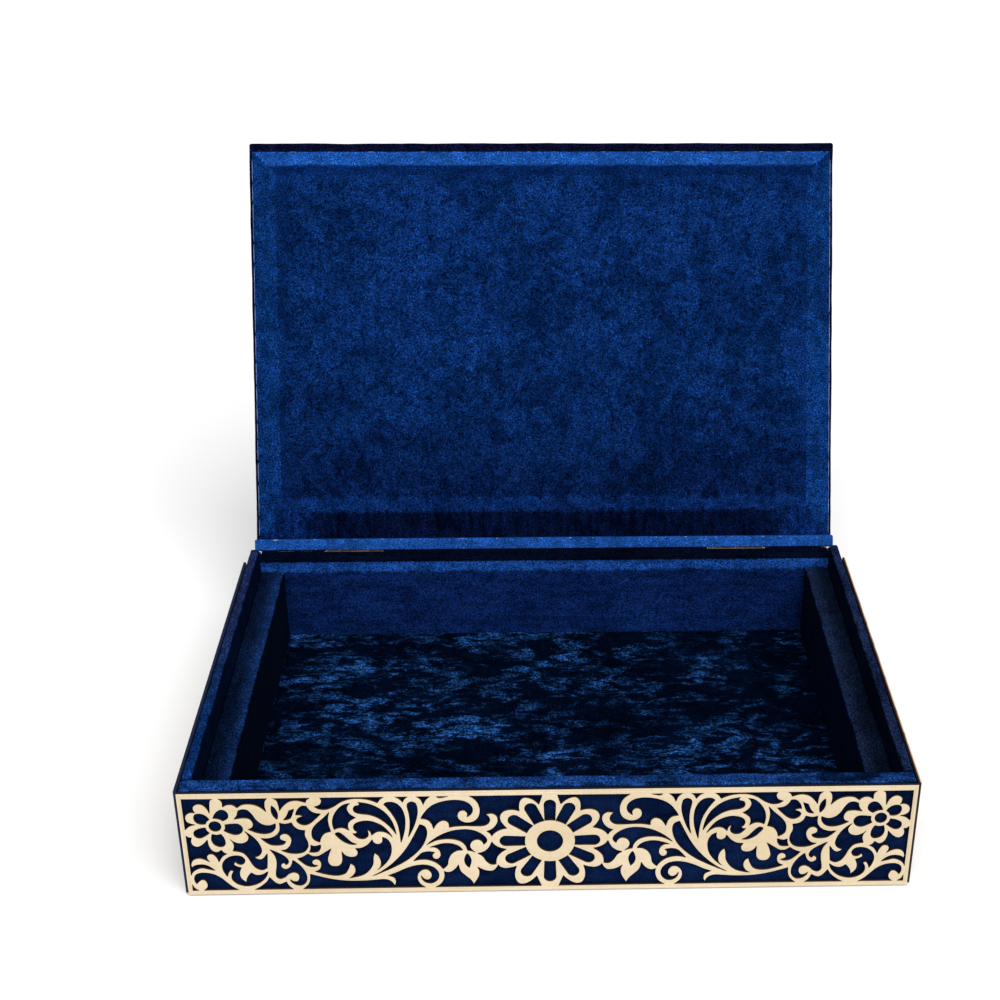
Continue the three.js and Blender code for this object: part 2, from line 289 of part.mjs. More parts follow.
// hinge stations: screw and knuckle places along X, left hinge mirrored
const hinges = [
  { name: 'left', x0: -HINGE_X0 - 4 * KNUCKLE_PITCH },
  { name: 'right', x0: HINGE_X0 },
];
const screwX = (h) => [h.x0 + 6, h.x0 + 4 * KNUCKLE_PITCH - 6];
const BOX_SCREW_Z = 39.5, LID_SCREW_Z = 61.2;
const SCREW_HOLE_R = 1.1;
const LEAF_Y0 = HALF_D + GAP, LEAF_Y1 = HALF_D + GAP + LEAF_T;

// back wall, drilled for the hinge screws
{
  const y0 = inY, y1 = HALF_D, x = inX - GAP;
  let cover = solid(prismX(roundTop(y0, y1, WALL_Z0, BACK_Z, 2.5, 0.5), -x, x))
    .subtract(solid(box(-x + SKIN, x - SKIN, y0 + SKIN, y1 - SKIN, WALL_Z0 - 1, BACK_Z - SKIN)));
  let board = solid(box(-x + SKIN + GAP, x - SKIN - GAP, y0 + SKIN + GAP, y1 - SKIN - GAP, WALL_Z0, BACK_Z - SKIN - GAP));
  for (const h of hinges) {
    for (const sxp of screwX(h)) {
      cover = cover.subtract(solid(cylY(SCREW_HOLE_R, y1 - 2, y1 + 1, sxp, BOX_SCREW_Z, 12)));
      board = board.subtract(solid(cylY(SCREW_HOLE_R, y1 - 6.6, y1 + 1, sxp, BOX_SCREW_Z, 12)));
    }
  }
  put(root, 'back_wall_cover', geometryOf(cover), velvet());
  put(root, 'back_wall_board', geometryOf(board), wood());
}

// ledges along the short sides
for (const s of [-1, 1]) {
  const name = s < 0 ? 'left' : 'right';
  const sx = (a, b) => (s > 0 ? [a, b] : [-b, -a]);
  const xo = inX - GAP, y = inY - GAP, z0 = FLOOR_Z0;
  const [ax, bx] = sx(LEDGE_X, xo);
  const r = s > 0 ? [1.6, 0.4] : [0.4, 1.6];
  const [cx, dx] = sx(LEDGE_X + SKIN, xo - SKIN);
  const [ex, fx] = sx(LEDGE_X + SKIN + GAP, xo - SKIN - GAP);
  const cover = solid(prismY(roundTop(ax, bx, z0, LEDGE_Z, r[0], r[1]), -y, y))
    .subtract(solid(box(cx, dx, -y + SKIN, y - SKIN, z0 - 1, LEDGE_Z - SKIN)));
  put(root, `${name}_ledge_cover`, geometryOf(cover), velvet());
  put(root, `${name}_ledge_core`, box(ex, fx, -y + SKIN + GAP, y - SKIN - GAP, z0, LEDGE_Z - SKIN - GAP), wood());
}

// fretwork plates
{
  const y1 = -HALF_D - GAP, y0 = y1 - PLATE_T;
  put(root, 'front_fret_panel', geometryOf(fretPlate(FRONT_PLATE_HALF, PLATE_Z0, PLATE_Z1, 200, ORNAMENT_TOL_FRONT, prismY, y0, y1)), gold());
  const half = SIDE_PLATE_LEN / 2;
  for (const s of [-1, 1]) {
    const x0 = s > 0 ? HALF_W + GAP : -HALF_W - GAP - PLATE_T;
    const m = fretPlate(half, PLATE_Z0, PLATE_Z1, half - 2.6, ORNAMENT_TOL_SIDE, prismX, x0, x0 + PLATE_T);
    const g = geometryOf(m);
    g.translate(0, -HALF_D + half, 0);
    put(root, `${s < 0 ? 'left' : 'right'}_fret_panel`, g, gold());
  }
}

// hinge leaves, pins and screws. Knuckles 1 and 3 belong to the box leaf, 2 and 4 to the lid leaf.
function leaf(h, which) {
  const onBox = which === 'box';
  const x0 = h.x0, x1 = h.x0 + 4 * KNUCKLE_PITCH;
  const z0 = onBox ? PIN_Z - KNUCKLE_R - GAP - LEAF_H : PIN_Z + KNUCKLE_R + GAP;
  let m = solid(box(x0 + 0.1, x1 - 0.1, LEAF_Y0, LEAF_Y1, z0, z0 + LEAF_H));
  for (let k = 0; k < 4; k++) {
    if ((k % 2 === 0) !== onBox) continue;
    const a = x0 + k * KNUCKLE_PITCH + GAP / 2, b = x0 + (k + 1) * KNUCKLE_PITCH - GAP / 2;
    m = m.add(solid(cylX(KNUCKLE_R, a, b, PIN_Y, PIN_Z)));
    const tab = onBox ? box(a, b, LEAF_Y0, LEAF_Y1, z0 + LEAF_H - 0.5, PIN_Z) : box(a, b, LEAF_Y0, LEAF_Y1, PIN_Z, z0 + 0.5);
    m = m.add(solid(tab));
  }
  m = m.subtract(solid(cylX(KNUCKLE_BORE, x0 - 1, x1 + 1, PIN_Y, PIN_Z)));
  for (const sxp of screwX(h)) m = m.subtract(solid(cylY(SCREW_HOLE_R, LEAF_Y0 - 1, LEAF_Y1 + 1, sxp, onBox ? BOX_SCREW_Z : LID_SCREW_Z, 12)));
  return geometryOf(m);
}
function screw(x, z) {
  // slotted raised head, shank into the board
  const profile = [[0, -6.2], [0.75, -4.8], [0.75, 0], [1.9, 0], [1.9, 0.25], [1.3, 0.6], [0, 0.75]].map(([r, y]) => new THREE.Vector2(r, y));
  const g = new THREE.LatheGeometry(profile, 12);
  let m = solid(g);
  m = m.subtract(solid(box(-3, 3, 0.45, 2, -0.22, 0.22)));
  const out = geometryOf(m);
  out.translate(x, LEAF_Y1 + GAP, z);
  return out;
}
for (const h of hinges) {
  const x0 = h.x0, x1 = h.x0 + 4 * KNUCKLE_PITCH;
  put(root, `${h.name}_hinge_box_leaf`, leaf(h, 'box'), brass());
  put(lid, `${h.name}_hinge_lid_leaf`, leaf(h, 'lid'), brass());
  const L = x1 - x0 + 2 * (GAP + 0.5);
  const p = [[0, -L / 2], [1.1, -L / 2 + 0.15], [1.25, -L / 2 + 0.5], [PIN_R, -L / 2 + 0.5], [PIN_R, L / 2 - 0.5], [1.25, L / 2 - 0.5], [1.1, L / 2 - 0.15], [0, L / 2]].map(([r, y]) => new THREE.Vector2(r, y));
  const pin = new THREE.LatheGeometry(p, 14);
  pin.rotateZ(Math.PI / 2);
  pin.translate((x0 + x1) / 2, PIN_Y, PIN_Z);
  put(root, `${h.name}_hinge_pin`, geometryOf(solid(pin)), brass());
  screwX(h).forEach((x, i) => {
    put(root, `${h.name}_box_screw_${i + 1}`, screw(x, BOX_SCREW_Z), brass());
    put(lid, `${h.name}_lid_screw_${i + 1}`, screw(x, LID_SCREW_Z), brass());
  });
}

// ---------------------------------------------------------------- lid, in its closed place
{
  const g = SKIN + GAP;
  let cover = solid(box(-LID_HALF, LID_HALF, LID_Y0, HALF_D, LID_Z0, LID_Z1))
    .add(solid(box(-LID_HALF, LID_HALF, SPINE_Y0, HALF_D, SPINE_Z0, LID_Z0 + 1)));
  cover = cover
    .subtract(solid(box(-LID_HALF + SKIN, LID_HALF - SKIN, LID_Y0 + SKIN, HALF_D - SKIN, LID_Z0 + SKIN, LID_Z1 - SKIN)))
    .subtract(solid(box(-LID_HALF + SKIN, LID_HALF - SKIN, SPINE_Y0 + SKIN, HALF_D - SKIN, SPINE_Z0 + SKIN, LID_Z0 + SKIN + 1)))
    .subtract(solid(box(-LID_HALF + LIP_SIDE, LID_HALF - LIP_SIDE, LID_Y0 + LIP_FRONT, SPINE_Y0, LID_Z0 - 1, LID_Z0 + SKIN + 1)));
  let board = solid(box(-LID_HALF + g, LID_HALF - g, LID_Y0 + g, HALF_D - g, LID_Z0 + g, LID_Z1 - g));
  for (const h of hinges) {
    for (const x of screwX(h)) {
      cover = cover.subtract(solid(cylY(SCREW_HOLE_R, HALF_D - 2, HALF_D + 1, x, LID_SCREW_Z, 12)));
      board = board.subtract(solid(cylY(SCREW_HOLE_R, HALF_D - 6.6, HALF_D + 1, x, LID_SCREW_Z, 12)));
    }
  }
  put(lid, 'lid_velvet_cover', geometryOf(cover), velvet());
  put(lid, 'lid_board', geometryOf(board), wood());
  put(lid, 'lid_spine_board', box(-LID_HALF + g, LID_HALF - g, SPINE_Y0 + g, HALF_D - g, SPINE_Z0 + g, LID_Z0 + SKIN), wood());

  // raised lining with bevelled borders: rectangular rings, each a little further in and lower
  const px = LID_HALF - LIP_SIDE - GAP, py0 = LID_Y0 + LIP_FRONT + GAP, py1 = SPINE_Y0 - GAP;
  const rings = [[0, 0, 0, LID_Z0 + SKIN], [0, 0, 0, LID_Z0 + 0.05], [3.4, 3.4, 4, LID_Z0 - 0.6], [7, 7, 9, LID_Z0 - 1.9], [12.6, 12.6, 16, LID_Z0 - PAD_H]];
  const v = [], f = [];
  for (const [ix, iy0, iy1, z] of rings) v.push(-px + ix, py0 + iy0, z, px - ix, py0 + iy0, z, px - ix, py1 - iy1, z, -px + ix, py1 - iy1, z);
  for (let k = 0; k + 1 < rings.length; k++) {
    for (let i = 0; i < 4; i++) {
      const a = 4 * k + i, b = 4 * k + ((i + 1) % 4), c = a + 4, d = b + 4;
      f.push(a, c, b, b, c, d);
    }
  }
  const e = 4 * (rings.length - 1);
  f.push(0, 1, 2, 0, 2, 3, e, e + 2, e + 1, e, e + 3, e + 2);
  const pad = new THREE.BufferGeometry();
  pad.setAttribute('position', new THREE.BufferAttribute(new Float32Array(v), 3));
  pad.setIndex(f);
  pad.computeVertexNormals();
  put(lid, 'lid_lining_pad', pad, crushed());

  // rosette plate in the middle of the lid's outer face
  const s = ROSETTE_R / 25, outline = [];
  for (let k = 0; k < 12; k++) {
    const a = (k * 30 * Math.PI) / 180;
    for (let i = -3; i <= 3; i++) {
      const q = (i * 4 * Math.PI) / 180, d = 20.1, rc = 4.95;
      const rr = d * Math.cos(q) + Math.sqrt(Math.max(0, rc * rc - (d * Math.sin(q)) ** 2));
      outline.push([s * rr * Math.cos(a + q), s * rr * Math.sin(a + q)]);
    }
    const n = a + (15 * Math.PI) / 180;
    outline.push([s * 19.6 * Math.cos(n), s * 19.6 * Math.sin(n)]);
  }
  const z0 = LID_Z1 + GAP, z1 = LID_Z1 + GAP + PLATE_T;
  let ros = solid(prismZ(outline, z0, z1));
  ros = ros.subtract(solid(prismZ(circle(0, 0, HUB_R * s, 24), z0 - 1, z1 + 1)));
  for (let k = 0; k < 12; k++) ros = ros.subtract(solid(prismZ(petalSlot(0, 0, 30 * k, s), z0 - 1, z1 + 1)));
  put(lid, 'lid_medallion', geometryOf(ros), gold());
}

// open the lid about the pins
const pivot = new THREE.Matrix4().makeTranslation(0, PIN_Y, PIN_Z)
  .multiply(new THREE.Matrix4().makeRotationX((-OPEN_DEG * Math.PI) / 180))
  .multiply(new THREE.Matrix4().makeTranslation(0, -PIN_Y, -PIN_Z));
pivot.decompose(lid.position, lid.quaternion, lid.scale);
root.updateMatrixWorld(true);

export default root;
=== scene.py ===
# Velvet case with gold fretwork: the visible pieces, their finishes, light and camera.
# Geometry is written in millimetres and scaled to metres. Lid pieces are made in the lid's closed place
# and set by one matrix to the open place, so their surface coordinates stay those of the closed lid.
import bpy
import bmesh
import math
import numpy as np
from mathutils import Matrix, Vector, noise


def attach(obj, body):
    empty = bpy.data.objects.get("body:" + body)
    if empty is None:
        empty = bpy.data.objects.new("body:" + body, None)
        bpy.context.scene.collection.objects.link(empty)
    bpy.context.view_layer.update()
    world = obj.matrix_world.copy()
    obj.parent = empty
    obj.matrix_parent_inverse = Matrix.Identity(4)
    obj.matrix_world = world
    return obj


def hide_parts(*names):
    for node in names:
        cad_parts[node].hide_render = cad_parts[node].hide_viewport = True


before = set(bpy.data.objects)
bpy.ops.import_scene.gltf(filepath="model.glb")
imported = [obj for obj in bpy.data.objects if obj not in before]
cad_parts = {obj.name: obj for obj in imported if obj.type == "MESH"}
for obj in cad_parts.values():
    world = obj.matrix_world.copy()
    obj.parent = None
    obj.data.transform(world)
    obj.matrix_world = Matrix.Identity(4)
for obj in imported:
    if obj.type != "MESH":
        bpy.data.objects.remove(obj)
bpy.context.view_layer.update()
MM = 0.001

# ------------------------------------------------------------------ dimensions (mm), the same as in the construction
SKIN, GAP = 0.9, 0.3
HALF_W, HALF_D, RIM_Z, BACK_Z, WALL_Z0 = 158.3, 108.9, 56.0, 50.7, 0.7
FRONT_T, SIDE_T = 8.0, 4.9
LEDGE_X, LEDGE_Z = 140.5, 44.0
FLOOR_Z0, FLOOR_Z1 = 2.6, 3.4
NOTCH_Y = 102.6
PLATE_T, PLATE_Z0, PLATE_Z1 = 1.4, 0.4, 55.2
PIN_Y, PIN_Z, OPEN_DEG = 110.6, 48.9, 114.0
KNUCKLE_R, KNUCKLE_BORE, KNUCKLE_PITCH, HINGE_X0 = 1.5, 0.95, 7.6, 88.6
LEAF_T, LEAF_H = 0.6, 12.0
LID_HALF, LID_Y0, LID_Z0, LID_Z1 = 158.0, -110.4, 57.2, 65.2
SPINE_Y0, SPINE_Z0 = 103.2, 51.7
LIP_SIDE, LIP_FRONT, PAD_H = 1.7, 4.8, 3.2
IN_X, IN_Y = HALF_W - SIDE_T, HALF_D - FRONT_T
BOX_SCREW_Z, LID_SCREW_Z = 39.5, 61.2

PIVOT = (Matrix.Translation((0, PIN_Y * MM, PIN_Z * MM)) @ Matrix.Rotation(math.radians(-OPEN_DEG), 4, "X")
         @ Matrix.Translation((0, -PIN_Y * MM, -PIN_Z * MM)))

# ------------------------------------------------------------------ mesh helpers
scene = bpy.context.scene


def link(name, mesh):
    o = bpy.data.objects.new(name, mesh)
    scene.collection.objects.link(o)
    return o


def mesh_from(name, verts, faces):
    """verts in mm"""
    m = bpy.data.meshes.new(name)
    m.from_pydata([tuple(float(c) * MM for c in v) for v in verts], [], [tuple(int(i) for i in f) for f in faces])
    m.validate()
    m.update()
    return m


def clean(mesh, dist=2e-6):
    bm = bmesh.new()
    bm.from_mesh(mesh)
    bmesh.ops.remove_doubles(bm, verts=bm.verts, dist=dist)
    bmesh.ops.dissolve_degenerate(bm, edges=bm.edges, dist=dist)
    loose = [v for v in bm.verts if not v.link_faces]
    bmesh.ops.delete(bm, geom=loose, context="VERTS")
    bmesh.ops.recalc_face_normals(bm, faces=bm.faces)
    bm.to_mesh(mesh)
    bm.free()
    mesh.update()


def shade(mesh, angle=32):
    for p in mesh.polygons:
        p.use_smooth = True
    if hasattr(mesh, "set_sharp_from_angle"):
        mesh.set_sharp_from_angle(angle=math.radians(angle))


def apply_mods(o):
    dg = bpy.context.evaluated_depsgraph_get()
    m = bpy.data.meshes.new_from_object(o.evaluated_get(dg))
    o.modifiers.clear()
    old = o.data
    o.data = m
    if old.users == 0 and isinstance(old, bpy.types.Mesh):
        bpy.data.meshes.remove(old)
    return o


def cut(o, cutter_mesh, op="DIFFERENCE"):
    c = link("cutter_tmp", cutter_mesh)
    c.matrix_world = o.matrix_world
    md = o.modifiers.new("b", "BOOLEAN")
    md.operation, md.solver, md.object = op, "EXACT", c
    bpy.context.view_layer.update()
    apply_mods(o)
    bpy.data.objects.remove(c)
    return o


def box_mesh(x0, x1, y0, y1, z0, z1):
    v = [(x, y, z) for x in (x0, x1) for y in (y0, y1) for z in (z0, z1)]
    f = [(0, 1, 3, 2), (4, 6, 7, 5), (0, 4, 5, 1), (2, 3, 7, 6), (0, 2, 6, 4), (1, 5, 7, 3)]
    return mesh_from("box_tmp", v, f)


def axis_steps(lo, hi, r, step, n=4):
    """positions along one axis, close together where the edge is rounded"""
    edge = [r * (1 - math.tan(math.radians(45 * (n - i) / n))) for i in range(n)]
    inner = max(2, int(round((hi - lo - 2 * r) / step)))
    mid = list(np.linspace(lo + r, hi - r, inner + 1))
    return [lo + e for e in edge] + mid + [hi - e for e in reversed(edge)]


def soft_box(name, lo, hi, r, step=4.0, n=4, wob=0.0, freq=0.05, seed=0.0):
    """A closed block with rounded edges and a fine surface, a little uneven as padded cloth is."""
    lo, hi = np.array(lo, float), np.array(hi, float)
    r = min(r, float(min(hi - lo)) / 2 - 0.02)
    A = [axis_steps(lo[i], hi[i], r, step, n) for i in range(3)]
    verts, index, faces = [], {}, []

    def vid(p):
        k = tuple(np.round(p, 5))
        if k not in index:
            index[k] = len(verts)
            verts.append(p)
        return index[k]

    for ax in range(3):
        u, v = (ax + 1) % 3, (ax + 2) % 3
        for side, val in ((0, lo[ax]), (1, hi[ax])):
            for i in range(len(A[u]) - 1):
                for j in range(len(A[v]) - 1):
                    q = []
                    for a, b in ((i, j), (i + 1, j), (i + 1, j + 1), (i, j + 1)):
                        p = np.zeros(3)
                        p[ax], p[u], p[v] = val, A[u][a], A[v][b]
                        q.append(vid(p))
                    faces.append(q if side else q[::-1])
    P = np.array(verts)
    core = np.clip(P, lo + r, hi - r)
    d = P - core
    L = np.linalg.norm(d, axis=1)
    L[L == 0] = 1
    N = d / L[:, None]
    P = core + N * r
    if wob:
        for k in range(len(P)):
            w = noise.noise(Vector(P[k] * freq) + Vector((seed, seed * 1.7, 3.1))) + 0.5 * noise.noise(Vector(P[k] * freq * 3.1) + Vector((9.2, seed, 1.3)))
            P[k] += N[k] * (w - 0.75) * wob
    o = link(name, mesh_from(name, P, faces))
    return o


def profile_bar(name, prof, x0, x1, step=3.0, wob=0.0, freq=0.08, seed=0.0):
    """A closed bar: an outline in (y, z), run along x, its surface a little uneven."""
    n, k = len(prof), max(2, int(round((x1 - x0) / step)))
    v, f = [], []
    for j in range(k + 1):
        x = x0 + (x1 - x0) * j / k
        for i, (y, z) in enumerate(prof):
            a, b = prof[i - 1], prof[(i + 1) % n]
            t = Vector((b[0] - a[0], b[1] - a[1])).normalized()
            p = Vector((x, y, z)) * freq
            d = (noise.noise(p + Vector((seed, 1.0, 2.0))) + 0.5 * noise.noise(p * 3.3 + Vector((4.0, seed, 1.0))) - 0.75) * wob
            v.append((x, y + t.y * d, z - t.x * d))
    for j in range(k):
        for i in range(n):
            a, b = j * n + i, j * n + (i + 1) % n
            f.append((a, b, b + n, a + n))
    f.append(tuple(range(n - 1, -1, -1)))
    f.append(tuple(range(k * n, (k + 1) * n)))
    m = mesh_from(name, v, f)
    bm = bmesh.new()
    bm.from_mesh(m)
    bmesh.ops.recalc_face_normals(bm, faces=bm.faces)
    bm.to_mesh(m)
    bm.free()
    return link(name, m)


def flat_curve(loops, thickness, bevel, bevel_res=1):
    """loops in mm in the XY plane, the first is the outline and the rest are holes; returns a closed mesh in mm, z from 0 to thickness"""
    cu = bpy.data.curves.new("plate_tmp", "CURVE")
    cu.dimensions = "2D"
    cu.fill_mode = "BOTH"
    cu.extrude = thickness / 2 - bevel
    cu.bevel_depth = bevel
    cu.bevel_resolution = bevel_res
    cu.offset = -bevel
    for lp in loops:
        s = cu.splines.new("POLY")
        s.points.add(len(lp) - 1)
        for i, p in enumerate(lp):
            s.points[i].co = (p[0], p[1], 0, 1)
        s.use_cyclic_u = True
    o = link("plate_tmp", cu)
    bpy.context.view_layer.update()
    dg = bpy.context.evaluated_depsgraph_get()
    m = bpy.data.meshes.new_from_object(o.evaluated_get(dg))
    bpy.data.objects.remove(o)
    bpy.data.curves.remove(cu)
    for v in m.vertices:
        v.co.z += thickness / 2
    bm = bmesh.new()
    bm.from_mesh(m)
    bmesh.ops.remove_doubles(bm, verts=bm.verts, dist=2e-4)
    bmesh.ops.recalc_face_normals(bm, faces=bm.faces)
    bm.to_mesh(m)
    bm.free()
    return m


def place(mesh, mat):
    """mesh in mm, mat maps mm to mm; the result is in metres"""
    mesh.transform(Matrix.Scale(MM, 4) @ mat)
    mesh.update()
    return mesh


BASIS_FRONT = Matrix(((1, 0, 0, 0), (0, 0, -1, 0), (0, 1, 0, 0), (0, 0, 0, 1)))      # x,y,z -> x, -z, y
BASIS_SIDE = Matrix(((0, 0, 1, 0), (1, 0, 0, 0), (0, 1, 0, 0), (0, 0, 0, 1)))        # x,y,z -> z, x, y

